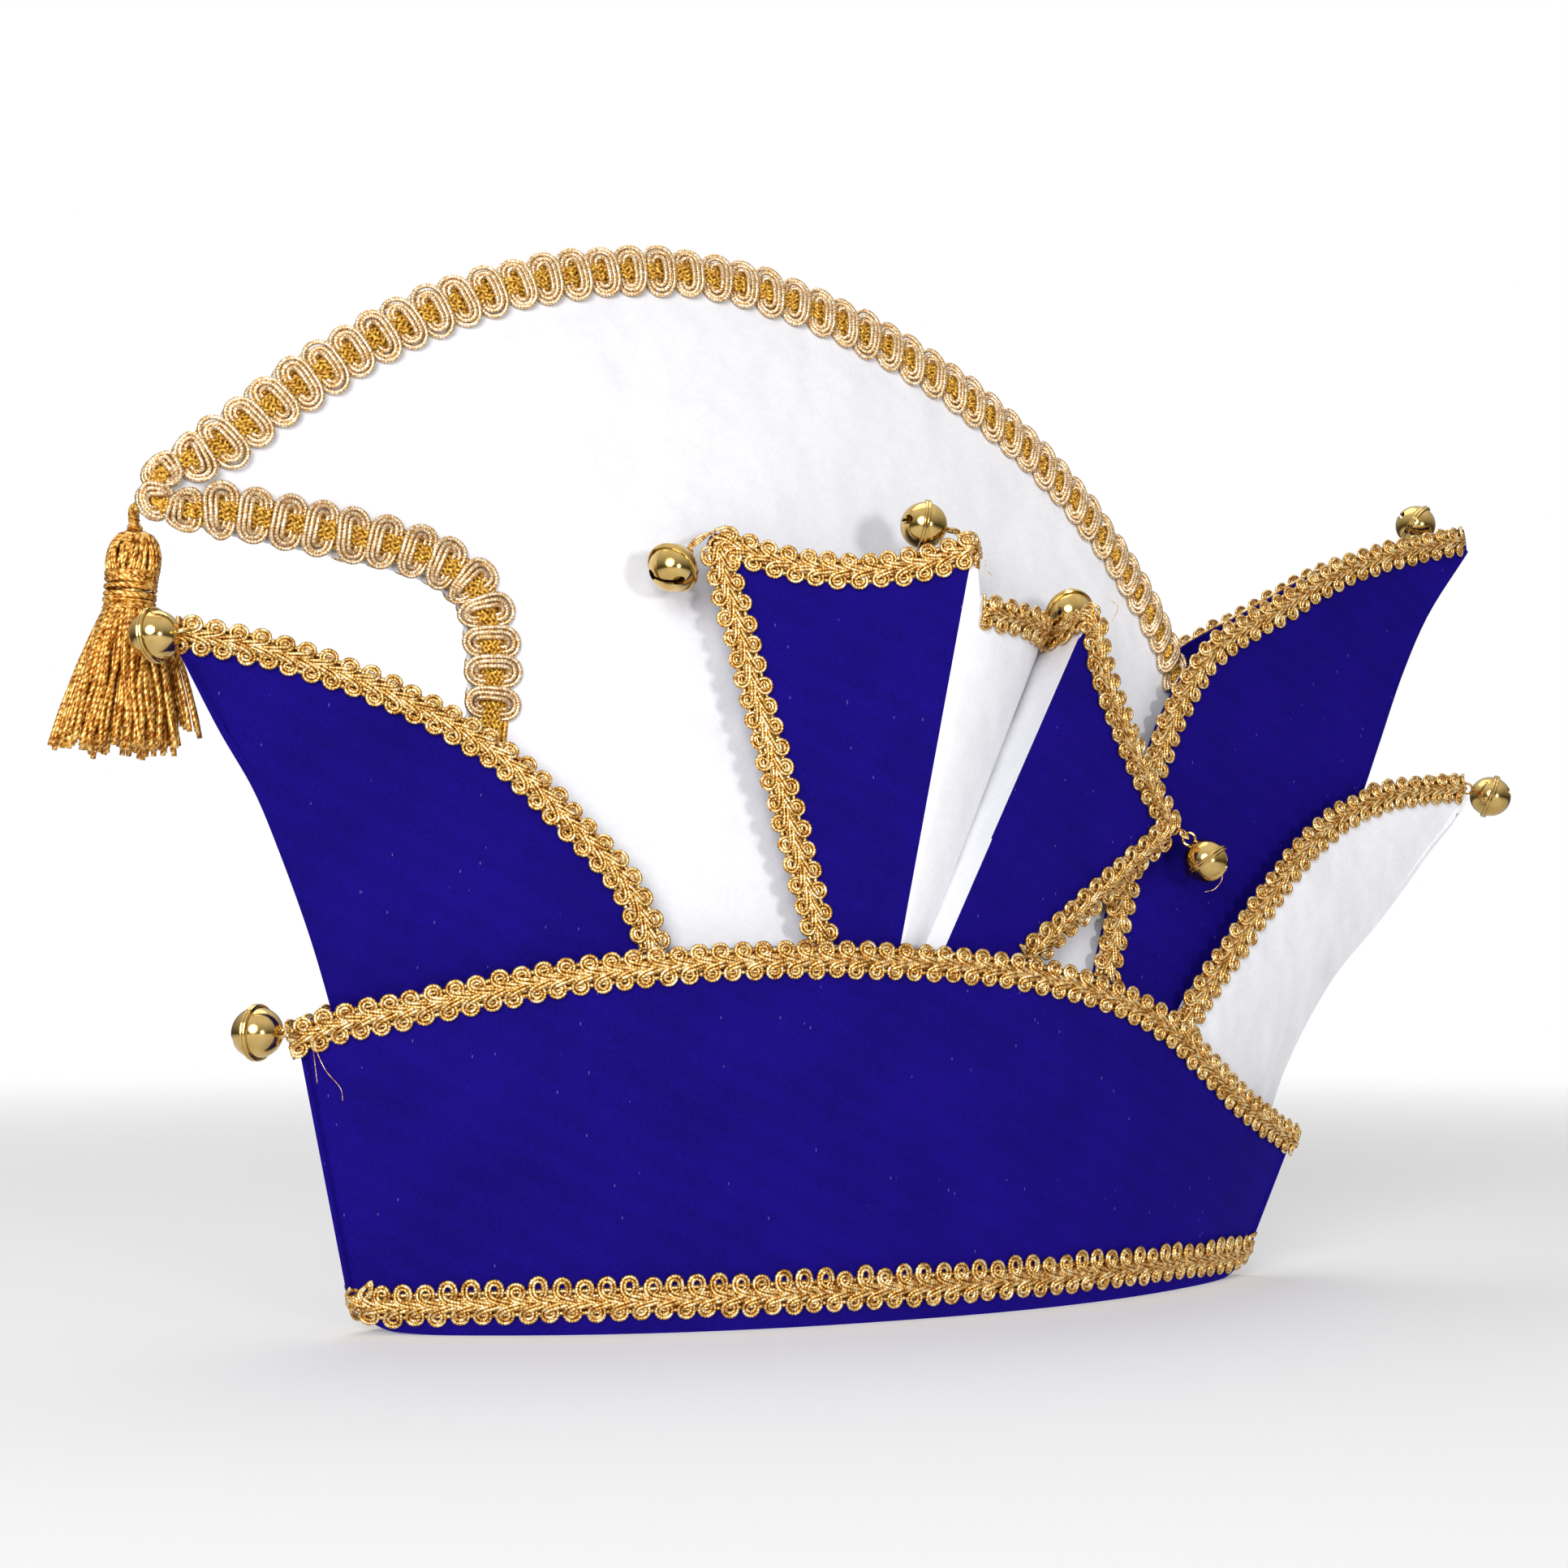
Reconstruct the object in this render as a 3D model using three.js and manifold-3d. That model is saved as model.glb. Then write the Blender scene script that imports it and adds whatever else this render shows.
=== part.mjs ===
// Carnival cap: velvet band, satin crown, horns, pleated fans, gold braid, bells and tassel.
// Millimetres. X runs along the cap with the tassel at the -X end, the near side is -Y, Z is up.
// The cap stands on the foot of its band and is the same on both sides of the middle plane Y = 0.
import * as THREE from 'three';
import { mergeVertices } from 'three/addons/utils/BufferGeometryUtils.js';
import Module from 'manifold-3d';

// Driving sizes

const BAND_LENGTH_TASSEL_SIDE = 141;
const BAND_LENGTH_FAR_SIDE = 133;
const BAND_HALF_WIDTH = 36;
const BAND_WIDENING = 0.05;
const BAND_LEAN_TASSEL_END = 0.215;
const BAND_LEAN_FAR_END = 0.51;
const BAND_FULLNESS = 2.3;
const BAND_WALL = 2.0;
const BAND_END_WALL = 3.8;
const CORNER_START = 0.84;
const CORNER_LIFT_TASSEL_END = 2;
const CORNER_LIFT_FAR_END = 1;

const CROWN_WALL = 1.5;
const CROWN_HALF_WIDTH = 30;
const CROWN_SEAM_SLOPE = 0.36;
const CROWN_FOOT_HEIGHT = 60;
const CROWN_BLEND_HEIGHT = 110;
const CROWN_HOLLOW_SHARE = 0.8;
const CROWN_BRAID_START = 0.21;

const HORN_WALL = 1.7;
const HORN_EDGE_WALL = 2.4;
const HORN_EDGE_SHARE = 0.6;
const HORN_LEAST_GAP = 0.15;
const HORN_FULLNESS = 1.6;
const FAN_WALL = 1.4;
const PANEL_GAP = 0.4;
const FOLD_LIMIT = 0.5;

const BRAID_GAP = 0.45;
const BRAID_END_STAND_OFF = 1.2;
const WIDE_BRAID_LIFT = 1.1;
const NARROW_BRAID_WIDTH = 10.2;
const NARROW_BRAID_THICKNESS = 2.0;
const WIDE_BRAID_WIDTH = 15.8;
const WIDE_BRAID_WIDTH_FAR_END = 11.4;
const WIDE_BRAID_FULL_FROM = 0.52;
const WIDE_BRAID_OVERHANG = 0.4;
const WIDE_BRAID_THICKNESS = 2.4;
const BRAID_OVERHANG = 1.5;
const HEM_BRAID_HEIGHT = 8.4;
const HEM_BRAID_DROP_AT_ENDS = 2.6;

const BELL_RADIUS = 6.6;
const BELL_RIM_RADIUS = 7.1;
const BELL_RIM_HALF_THICKNESS = 0.5;
const LOOP_RADIUS = 2.0;
const LOOP_WIRE_RADIUS = 0.55;

const TASSEL_LOCKS = 9;
const TASSEL_FLATNESS = 0.72;
const CORD_RADIUS = 1.1;

// Height of the upper edge of the band, along it from the tassel end (-1) to the far end (1)
const BAND_TOP = [
  { along: -1.0, height: 79 },
  { along: -0.94, height: 83 },
  { along: -0.84, height: 86.8 },
  { along: -0.6, height: 95.3 },
  { along: -0.34, height: 99.5 },
  { along: -0.05, height: 99.5 },
  { along: 0.2, height: 95 },
  { along: 0.44, height: 84 },
  { along: 0.65, height: 66 },
  { along: 0.78, height: 56 },
  { along: 1.0, height: 44 },
];

// Sections across the crown, from its under edge at the tassel end to the arch
const CROWN_SECTIONS = [
  { underX: -128, underZ: 60, archX: 128, archZ: 60 },
  { underX: -122, underZ: 105, archX: 124, archZ: 110 },
  { underX: -116, underZ: 145, archX: 121, archZ: 154.6 },
  { underX: -114, underZ: 165, archX: 115.2, archZ: 189.6 },
  { underX: -114, underZ: 175, archX: 101.3, archZ: 215.4 },
  { underX: -114.5, underZ: 182, archX: 75.9, archZ: 245.7 },
  { underX: -115.3, underZ: 187, archX: 42, archZ: 271 },
  { underX: -116.5, underZ: 191, archX: -0.9, archZ: 290.4 },
  { underX: -118.7, underZ: 194, archX: -45, archZ: 299 },
  { underX: -123.5, underZ: 197, archX: -89.3, archZ: 293.3 },
  { underX: -132, underZ: 200, archX: -125.8, archZ: 279.2 },
  { underX: -147, underZ: 202.5, archX: -154.5, archZ: 261 },
  { underX: -166, underZ: 205, archX: -175.6, archZ: 243.4 },
  { underX: -183, underZ: 207.5, archX: -189.5, archZ: 227.9 },
  { underX: -196, underZ: 211.5, archX: -198, archZ: 216 },
];

// Sections of each horn from its foot to its tip: the edge in the middle plane and the free edge
const HORN_TASSEL_END = [
  { edgeX: -143, edgeZ: 62, freeX: -63, freeZ: 74, freeY: 28 },
  { edgeX: -149, edgeZ: 84, freeX: -66, freeZ: 98, freeY: 27.5 },
  { edgeX: -155, edgeZ: 103, freeX: -73.5, freeZ: 117, freeY: 25 },
  { edgeX: -163, edgeZ: 124, freeX: -86, freeZ: 131.5, freeY: 20.5 },
  { edgeX: -170, edgeZ: 140, freeX: -106, freeZ: 151.5, freeY: 13.8 },
  { edgeX: -179, edgeZ: 155, freeX: -133, freeZ: 166.5, freeY: 8.8 },
  { edgeX: -186, edgeZ: 168, freeX: -160, freeZ: 176, freeY: 4.8 },
  { edgeX: -190.5, edgeZ: 176.5, freeX: -187, freeZ: 182.5, freeY: 2.2 },
];
const HORN_BLUE_FAR_END = [
  { edgeX: 137, edgeZ: 48, freeX: 64, freeZ: 68, freeY: 27 },
  { edgeX: 146, edgeZ: 72, freeX: 66, freeZ: 90, freeY: 26 },
  { edgeX: 155, edgeZ: 92, freeX: 75, freeZ: 113, freeY: 21 },
  { edgeX: 164, edgeZ: 112, freeX: 83, freeZ: 135.5, freeY: 17.5 },
  { edgeX: 174, edgeZ: 131, freeX: 93.5, freeZ: 158.5, freeY: 13.5 },
  { edgeX: 184, edgeZ: 149, freeX: 103.5, freeZ: 177, freeY: 11.5 },
  { edgeX: 194, edgeZ: 168, freeX: 117.5, freeZ: 194.5, freeY: 10 },
  { edgeX: 206, edgeZ: 192, freeX: 144, freeZ: 209.5, freeY: 7.5 },
  { edgeX: 218, edgeZ: 213, freeX: 174.5, freeZ: 226, freeY: 5 },
  { edgeX: 232, edgeZ: 235.5, freeX: 229, freeZ: 243.5, freeY: 2.2 },
];
const HORN_WHITE_FAR_END = [
  { edgeX: 142, edgeZ: 38, freeX: 95, freeZ: 58, freeY: 22 },
  { edgeX: 153, edgeZ: 62, freeX: 95.5, freeZ: 79.5, freeY: 24.5 },
  { edgeX: 169, edgeZ: 91, freeX: 114, freeZ: 99.5, freeY: 20 },
  { edgeX: 189, edgeZ: 108.5, freeX: 134, freeZ: 119.5, freeY: 15.4 },
  { edgeX: 202, edgeZ: 122, freeX: 151, freeZ: 134.5, freeY: 11.4 },
  { edgeX: 212, edgeZ: 133, freeX: 166.5, freeZ: 144, freeY: 8.4 },
  { edgeX: 222, edgeZ: 143, freeX: 189, freeZ: 152, freeY: 5.2 },
  { edgeX: 229, edgeZ: 151.5, freeX: 223, freeZ: 157.5, freeY: 2.2 },
];

// Fold lines of the near fan, from its foot inside the band to its upper edge
const FAN_FOLDS = [
  { name: 'outer_tassel_side', footX: -24, footY: -35.6, footZ: 86, topX: -56, topY: -24, topZ: 216.5 },
  { name: 'ridge_tassel_side', footX: -4.6, footY: -37, footZ: 86, topX: 16.8, topY: -48, topZ: 213.5 },
  { name: 'valley', footX: 0.6, footY: -35, footZ: 86, topX: 54, topY: -23, topZ: 190 },
  { name: 'ridge_far_side', footX: 5.2, footY: -37, footZ: 86, topX: 54.5, topY: -46, topZ: 194 },
  { name: 'outer_far_side', footX: 28, footY: -35.4, footZ: 86, topX: 99.5, topY: -22.6, topZ: 137 },
];
const FAN_PANELS = [
  { name: 'blue_tassel_side', fold: 0, dip: 8.5, columns: 5 },
  { name: 'white_tassel_side', fold: 1, dip: 4, columns: 4 },
  { name: 'white_far_side', fold: 2, dip: 0.5, columns: 2 },
  { name: 'blue_far_side', fold: 3, dip: 5, columns: 5 },
];

// Bells: centre and the direction from the bell to the tip that it hangs on
const MIDDLE_BELLS = [
  { name: 'bell_horn_tassel_end', x: -199.6, y: 0, z: 178.6, toX: 1, toY: 0, toZ: 0.15 },
  { name: 'bell_band', x: -168.4, y: 0, z: 77.5, toX: 0.62, toY: 0, toZ: -0.78 },
  { name: 'bell_horn_blue', x: 219, y: 11.5, z: 249, toX: 0.55, toY: -0.6, toZ: -0.6 },
  { name: 'bell_horn_white', x: 238.6, y: 0, z: 153, toX: -1, toY: 0, toZ: 0.2 },
];
const FAN_BELLS = [
  { name: 'outer_tassel_side', x: -64.5, y: -27, z: 202, toX: 0.55, toY: 0.1, toZ: 0.83 },
  { name: 'ridge_tassel_side', x: 4.9, y: -40, z: 219, toX: 0.95, toY: -0.3, toZ: -0.25 },
  { name: 'ridge_far_side', x: 57, y: -29, z: 202.5, toX: -0.1, toY: -0.85, toZ: -0.5 },
  { name: 'outer_far_side', x: 104, y: -28.5, z: 126.5, toX: -0.35, toY: 0.3, toZ: 0.88 },
];

// Tassel from its top down, measured from the top of its head
const TASSEL_TOP = { x: -199.6, y: 17, z: 207.5 };
const TASSEL_LEAN = -0.025;
const TASSEL_SECTIONS = [
  { down: 0, radius: 2.4, locks: 0 },
  { down: 3, radius: 5.6, locks: 0 },
  { down: 8, radius: 6.7, locks: 0.02 },
  { down: 12, radius: 6.3, locks: 0 },
  { down: 21, radius: 6.2, locks: 0 },
  { down: 25, radius: 7.8, locks: 0.05 },
  { down: 37, radius: 11.4, locks: 0.08 },
  { down: 49, radius: 14.4, locks: 0.1 },
  { down: 60, radius: 16.6, locks: 0.12 },
];
const CORD_POINTS = [
  { x: -199.9, y: 1.6, z: 213.2 },
  { x: -201.4, y: 8, z: 215.6 },
  { x: -200.6, y: 15, z: 213.2 },
  { x: -199.6, y: 17, z: 208.1 },
];

const COLOURS = {
  velvet: '#1d0a86',
  satin: '#f4f4f6',
  braid: '#c79a3f',
  tassel: '#b8741a',
  brass: '#b59a54',
};

// Meshes from faces

// A closed body from points and faces of three or four point numbers, turned so that its faces point out.
function bodyFromFaces(points, faces) {
  const corners = [];
  for (const face of faces) {
    corners.push([face[0], face[1], face[2]]);
    if (face.length === 4) {
      corners.push([face[0], face[2], face[3]]);
    }
  }
  let volume = 0;
  for (const [a, b, c] of corners) {
    volume += points[a].dot(points[b].clone().cross(points[c]));
  }
  const order = volume >= 0 ? corners : corners.map(([a, b, c]) => [a, c, b]);
  const geometry = new THREE.BufferGeometry();
  geometry.setFromPoints(points);
  geometry.setIndex(order.flat());
  geometry.computeVertexNormals();
  return geometry;
}

// The four-point faces between two rows of point numbers.
function strip(rowA, rowB, closed) {
  const faces = [];
  const count = closed ? rowA.length : rowA.length - 1;
  for (let j = 0; j < count; j += 1) {
    const next = (j + 1) % rowA.length;
    faces.push([rowA[j], rowA[next], rowB[next], rowB[j]]);
  }
  return faces;
}

// The outward direction of a grid of points at one of them.
function gridNormal(grid, row, column, closed) {
  const rows = grid.length;
  const columns = grid[0].length;
  const before = closed ? (column - 1 + columns) % columns : Math.max(column - 1, 0);
  const after = closed ? (column + 1) % columns : Math.min(column + 1, columns - 1);
  const across = grid[row][after].clone().sub(grid[row][before]);
  const up = grid[Math.min(row + 1, rows - 1)][column].clone().sub(grid[Math.max(row - 1, 0)][column]);
  return across.cross(up).normalize();
}

// A wall behind a grid of outer points, whose rows run from the foot up. The step from an outer point to
// its inner point is the wall thickness along the grid's own direction, unless steps are given.
function wallFromGrid(grid, wall, closed, steps) {
  const columns = grid[0].length;
  const points = [];
  const outer = [];
  const inner = [];
  for (let row = 0; row < grid.length; row += 1) {
    outer.push([]);
    inner.push([]);
    for (let column = 0; column < columns; column += 1) {
      const own = gridNormal(grid, row, column, closed).multiplyScalar(-wall);
      const step = steps ? steps[row][column] : own;
      outer[row].push(points.push(grid[row][column].clone()) - 1);
      inner[row].push(points.push(grid[row][column].clone().add(step)) - 1);
    }
  }
  const faces = [];
  const last = grid.length - 1;
  for (let row = 0; row < last; row += 1) {
    faces.push(...strip(outer[row], outer[row + 1], closed));
    faces.push(...strip(inner[row + 1], inner[row], closed));
  }
  faces.push(...strip(inner[0], outer[0], closed));
  faces.push(...strip(outer[last], inner[last], closed));
  if (!closed) {
    const first = outer.map((row) => row[0]);
    const firstInner = inner.map((row) => row[0]);
    const end = outer.map((row) => row[columns - 1]);
    const endInner = inner.map((row) => row[columns - 1]);
    faces.push(...strip(first, firstInner, false));
    faces.push(...strip(endInner, end, false));
  }
  return bodyFromFaces(points, faces);
}

// A flat ribbon along stations, each with a point on the cloth, the direction out of it and perhaps a width.
function ribbon(stations, width, thickness, closed) {
  const points = [];
  const rows = [];
  const count = stations.length;
  for (let i = 0; i < count; i += 1) {
    const before = closed ? stations[(i - 1 + count) % count] : stations[Math.max(i - 1, 0)];
    const after = closed ? stations[(i + 1) % count] : stations[Math.min(i + 1, count - 1)];
    const along = after.point.clone().sub(before.point).normalize();
    const side = along.clone().cross(stations[i].normal).normalize();
    const out = side.clone().cross(along).normalize();
    const row = [];
    for (const [across, height] of [[-0.5, 0], [0.5, 0], [0.5, 1], [-0.5, 1]]) {
      const corner = stations[i].point.clone();
      corner.addScaledVector(side, across * (stations[i].width ?? width));
      corner.addScaledVector(out, BRAID_GAP + height * thickness);
      row.push(points.push(corner) - 1);
    }
    rows.push(row);
  }
  const faces = [];
  const lengths = closed ? count : count - 1;
  for (let i = 0; i < lengths; i += 1) {
    faces.push(...strip(rows[i], rows[(i + 1) % count], true));
  }
  if (!closed) {
    faces.push([...rows[0]].reverse());
    faces.push(rows[count - 1]);
  }
  return bodyFromFaces(points, faces);
}

// The same body on the other side of the middle plane.
function mirrored(geometry) {
  const copy = geometry.clone();
  const position = copy.getAttribute('position');
  for (let i = 0; i < position.count; i += 1) {
    position.setY(i, -position.getY(i));
  }
  const index = Array.from(copy.getIndex().array);
  for (let i = 0; i < index.length; i += 3) {
    const keep = index[i + 1];
    index[i + 1] = index[i + 2];
    index[i + 2] = keep;
  }
  copy.setIndex(index);
  copy.computeVertexNormals();
  return copy;
}

// Smooth values between the rows of a table

function smoothValue(table, at, column, value) {
  let row = 0;
  while (row < table.length - 2 && table[row + 1][at] < value) {
    row += 1;
  }
  const pick = (i) => table[Math.min(Math.max(i, 0), table.length - 1)];
  const slope = (i) => {
    const a = pick(i - 1);
    const b = pick(i + 1);
    return (b[column] - a[column]) / (b[at] - a[at]);
  };
  const start = pick(row);
  const end = pick(row + 1);
  const span = end[at] - start[at];
  const t = Math.min(Math.max((value - start[at]) / span, 0), 1);
  const cubic = t * t * (3 - 2 * t);
  const rise = span * (t * (1 - t) * (1 - t) * slope(row) - t * t * (1 - t) * slope(row + 1));
  return start[column] + (end[column] - start[column]) * cubic + rise;
}

function curveThrough(table, toPoint) {
  return new THREE.CatmullRomCurve3(table.map(toPoint));
}

// Band

// A point on the outside of the band, or on its inside.
function bandPoint(along, height, side, inside = false) {
  const left = BAND_LENGTH_TASSEL_SIDE + BAND_LEAN_TASSEL_END * height;
  const right = BAND_LENGTH_FAR_SIDE + BAND_LEAN_FAR_END * height;
  const middle = (right - left) / 2;
  const half = (right + left) / 2 - (inside ? BAND_END_WALL : 0);
  const width = BAND_HALF_WIDTH + BAND_WIDENING * height - (inside ? BAND_WALL : 0);
  const y = width * (1 - Math.abs(along) ** BAND_FULLNESS);
  return new THREE.Vector3(middle + along * half, side * y, height);
}

function bandFoot(along) {
  const share = Math.max(0, (Math.abs(along) - CORNER_START) / (1 - CORNER_START));
  const lift = along < 0 ? CORNER_LIFT_TASSEL_END : CORNER_LIFT_FAR_END;
  return lift * share * share;
}

function bandTop(along) {
  return smoothValue(BAND_TOP, 'along', 'height', along);
}

// Stations round the band: along the near side from the tassel end, then back on the far side.
function bandStations(count) {
  const stations = [];
  for (let i = 0; i < count; i += 1) {
    stations.push({ along: -Math.cos((Math.PI * i) / count), side: -1 });
  }
  for (let i = 0; i < count; i += 1) {
    stations.push({ along: Math.cos((Math.PI * i) / count), side: 1 });
  }
  return stations;
}

// The wall of the band. Its thickness is measured level, so that the foot is one flat rim.
function bandBody() {
  const grid = [];
  const steps = [];
  for (const share of [0, 0.34, 0.67, 1]) {
    const row = [];
    const stepRow = [];
    for (const { along, side } of bandStations(22)) {
      const height = THREE.MathUtils.lerp(bandFoot(along), bandTop(along), share);
      const point = bandPoint(along, height, side);
      row.push(point);
      stepRow.push(bandPoint(along, height, side, true).sub(point));
    }
    grid.push(row);
    steps.push(stepRow);
  }
  return wallFromGrid(grid, BAND_WALL, true, steps);
}

// The direction out of the band at one place.
function bandNormal(along, height, side) {
  const step = 0.01;
  const before = Math.max(along - step, -1);
  const after = Math.min(along + step, 1);
  const across = bandPoint(after, height, side).sub(bandPoint(before, height, side));
  const up = bandPoint(along, height + 1, side).sub(bandPoint(along, height, side));
  const normal = across.cross(up).normalize();
  return side < 0 ? normal : normal.negate();
}

// A braid round the band. Stations just beside its two sharp ends are left out.
function bandBraid(heightAt, count) {
  const places = bandStations(count).filter(({ along }) => Math.abs(along) < 0.985 || Math.abs(along) > 0.999);
  const stations = places.map(({ along, side }) => {
    const height = heightAt(along);
    const point = bandPoint(along, height, side);
    const atEnd = Math.abs(along) > 0.999;
    const lean = along < 0 ? BAND_LEAN_TASSEL_END : BAND_LEAN_FAR_END;
    const endNormal = new THREE.Vector3(Math.sign(along), 0, -lean).normalize();
    const normal = atEnd ? endNormal : bandNormal(along, height, side);
    if (atEnd) {
      point.x += Math.sign(along) * BRAID_END_STAND_OFF;
    }
    return { point, normal };
  });
  return ribbon(stations, NARROW_BRAID_WIDTH, NARROW_BRAID_THICKNESS, true);
}

// Crown

const crownUnder = curveThrough(CROWN_SECTIONS, (row) => new THREE.Vector3(row.underX, 0, row.underZ));
const crownArch = curveThrough(CROWN_SECTIONS, (row) => new THREE.Vector3(row.archX, 0, row.archZ));

// The seam of the crown as straight pieces, from the foot at the tassel end over the curl to the far foot.
const crownSeam = [];
for (let i = 0; i <= 56; i += 1) {
  crownSeam.push(crownUnder.getPoint(i / 56));
}
for (let i = 56; i >= 0; i -= 1) {
  crownSeam.push(crownArch.getPoint(i / 56));
}

// A mean distance from a point in the middle plane to the whole seam.
function distanceToSeam(point) {
  let sum = 0;
  for (let i = 0; i + 1 < crownSeam.length; i += 1) {
    const along = crownSeam[i + 1].clone().sub(crownSeam[i]);
    const length = along.length();
    if (length < 1e-6) {
      continue;
    }
    along.divideScalar(length);
    const toStart = crownSeam[i].clone().sub(point);
    const start = toStart.dot(along);
    const height = Math.max(Math.sqrt(Math.max(toStart.lengthSq() - start * start, 0)), 1e-3);
    sum += (Math.atan((start + length) / height) - Math.atan(start / height)) / height;
  }
  return Math.PI / sum;
}

// Half the width of the crown at a section and a place across it.
function crownHalfWidth(section, across) {
  const point = crownUnder.getPoint(section).lerp(crownArch.getPoint(section), across);
  const atFoot = CROWN_HALF_WIDTH * (1 - Math.abs(2 * across - 1) ** BAND_FULLNESS);
  const reach = distanceToSeam(point) * CROWN_SEAM_SLOPE / CROWN_HALF_WIDTH;
  const above = CROWN_HALF_WIDTH * (1 - Math.exp(-reach));
  const blend = THREE.MathUtils.smoothstep(point.z, CROWN_FOOT_HEIGHT, CROWN_FOOT_HEIGHT + CROWN_BLEND_HEIGHT);
  return THREE.MathUtils.lerp(atFoot, above, blend);
}

function crownPoint(section, across, side) {
  const point = crownUnder.getPoint(section).lerp(crownArch.getPoint(section), across);
  const atSeam = across < 1e-6 || across > 1 - 1e-6;
  point.y = atSeam ? 0 : side * crownHalfWidth(section, across);
  return point;
}

// Places across a section, closer together at its ends.
function acrossPlaces(count) {
  const places = [];
  for (let j = 0; j <= count; j += 1) {
    places.push((1 - Math.cos((Math.PI * j) / count)) / 2);
  }
  return places;
}

function crownBody() {
  const points = [];
  const faces = [];
  const sections = 24;
  const places = acrossPlaces(8);
  const outer = [];
  for (let i = 0; i < sections; i += 1) {
    const row = [];
    for (const across of places) {
      row.push(points.push(crownPoint(i / sections, across, -1)) - 1);
    }
    for (const across of places.slice(1, -1).reverse()) {
      row.push(points.push(crownPoint(i / sections, across, 1)) - 1);
    }
    outer.push(row);
  }
  const tip = points.push(crownUnder.getPoint(1).lerp(crownArch.getPoint(1), 0.5)) - 1;
  for (let i = 0; i + 1 < sections; i += 1) {
    faces.push(...strip(outer[i], outer[i + 1], true));
  }
  const lastOuter = outer[sections - 1];
  lastOuter.forEach((p, j) => faces.push([p, lastOuter[(j + 1) % lastOuter.length], tip]));

  const hollowSections = 16;
  const inner = [];
  for (let i = 0; i < hollowSections; i += 1) {
    const section = (CROWN_HOLLOW_SHARE * i) / hollowSections;
    const closing = 1 - (i / hollowSections) ** 4;
    const length = crownUnder.getPoint(section).distanceTo(crownArch.getPoint(section));
    const margin = (CROWN_WALL * 3) / length;
    const row = [];
    const inside = (across, side) => {
      const place = margin + across * (1 - 2 * margin);
      const point = crownPoint(section, place, side);
      const room = Math.max(Math.abs(point.y) - CROWN_WALL, 0.25) * closing;
      point.y = side * Math.max(room, 0.2);
      return point;
    };
    for (const across of places) {
      const point = inside(across, -1);
      if (across < 1e-6 || across > 1 - 1e-6) {
        point.y = 0;
      }
      row.push(points.push(point) - 1);
    }
    for (const across of places.slice(1, -1).reverse()) {
      row.push(points.push(inside(across, 1)) - 1);
    }
    inner.push(row);
  }
  const end = crownUnder.getPoint(CROWN_HOLLOW_SHARE).lerp(crownArch.getPoint(CROWN_HOLLOW_SHARE), 0.5);
  const hollowEnd = points.push(end) - 1;
  for (let i = 0; i + 1 < hollowSections; i += 1) {
    faces.push(...strip(inner[i + 1], inner[i], true));
  }
  const lastInner = inner[hollowSections - 1];
  lastInner.forEach((p, j) => faces.push([lastInner[(j + 1) % lastInner.length], p, hollowEnd]));
  faces.push(...strip(inner[0], outer[0], true));
  return bodyFromFaces(points, faces);
}

// The width of the wide braid: it narrows down the far end of the arch and towards the curled tip.
function wideBraidWidth(section, fromUnder) {
  const start = CROWN_BRAID_START;
  const share = THREE.MathUtils.smoothstep(section, start, WIDE_BRAID_FULL_FROM);
  const onArch = THREE.MathUtils.lerp(WIDE_BRAID_WIDTH_FAR_END, WIDE_BRAID_WIDTH, share);
  const wanted = fromUnder ? WIDE_BRAID_WIDTH : onArch;
  const length = crownUnder.getPoint(section).distanceTo(crownArch.getPoint(section));
  return Math.min(wanted, length / 2 + WIDE_BRAID_OVERHANG - BRAID_GAP);
}

// Stations of the wide braid on the near face of the crown, along its under edge or its arch.
function crownBraidStations() {
  const stations = [];
  const add = (section, fromUnder) => {
    const length = crownUnder.getPoint(section).distanceTo(crownArch.getPoint(section));
    const width = wideBraidWidth(section, fromUnder);
    const share = (width / 2 - WIDE_BRAID_OVERHANG) / length;
    const across = fromUnder ? share : 1 - share;
    const step = 0.01;
    const point = crownPoint(section, across, -1);
    const alongUp = crownPoint(section + step, across, -1).sub(crownPoint(section - step, across, -1));
    const over = crownPoint(section, across + step, -1).sub(crownPoint(section, across - step, -1));
    const normal = over.cross(alongUp).normalize();
    if (normal.y > 0) {
      normal.negate();
    }
    normal.add(new THREE.Vector3(0, -1, 0)).normalize();
    point.addScaledVector(normal, WIDE_BRAID_LIFT);
    stations.push({ point, normal, width });
  };
  return { stations, add };
}

function crownUnderBraid() {
  const { stations, add } = crownBraidStations();
  for (let i = 0; i <= 20; i += 1) {
    add(THREE.MathUtils.lerp(0.17, 0.975, i / 20), true);
  }
  return ribbon(stations, WIDE_BRAID_WIDTH, WIDE_BRAID_THICKNESS, false);
}

function crownArchBraid() {
  const { stations, add } = crownBraidStations();
  for (let i = 0; i <= 34; i += 1) {
    add(THREE.MathUtils.lerp(CROWN_BRAID_START, 0.975, i / 34), false);
  }
  return ribbon(stations, WIDE_BRAID_WIDTH, WIDE_BRAID_THICKNESS, false);
}

// Horns

function hornSurface(table) {
  const edge = curveThrough(table, (row) => new THREE.Vector3(row.edgeX, 0, row.edgeZ));
  const free = curveThrough(table, (row) => new THREE.Vector3(row.freeX, row.freeY, row.freeZ));
  return (up, across) => {
    const start = edge.getPoint(up);
    const end = free.getPoint(up);
    const share = Math.abs(across);
    const width = end.y * (1 - (1 - share) ** HORN_FULLNESS);
    const x = THREE.MathUtils.lerp(start.x, end.x, share);
    const z = THREE.MathUtils.lerp(start.z, end.z, share);
    return new THREE.Vector3(x, Math.sign(across) * width, z);
  };
}

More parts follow.
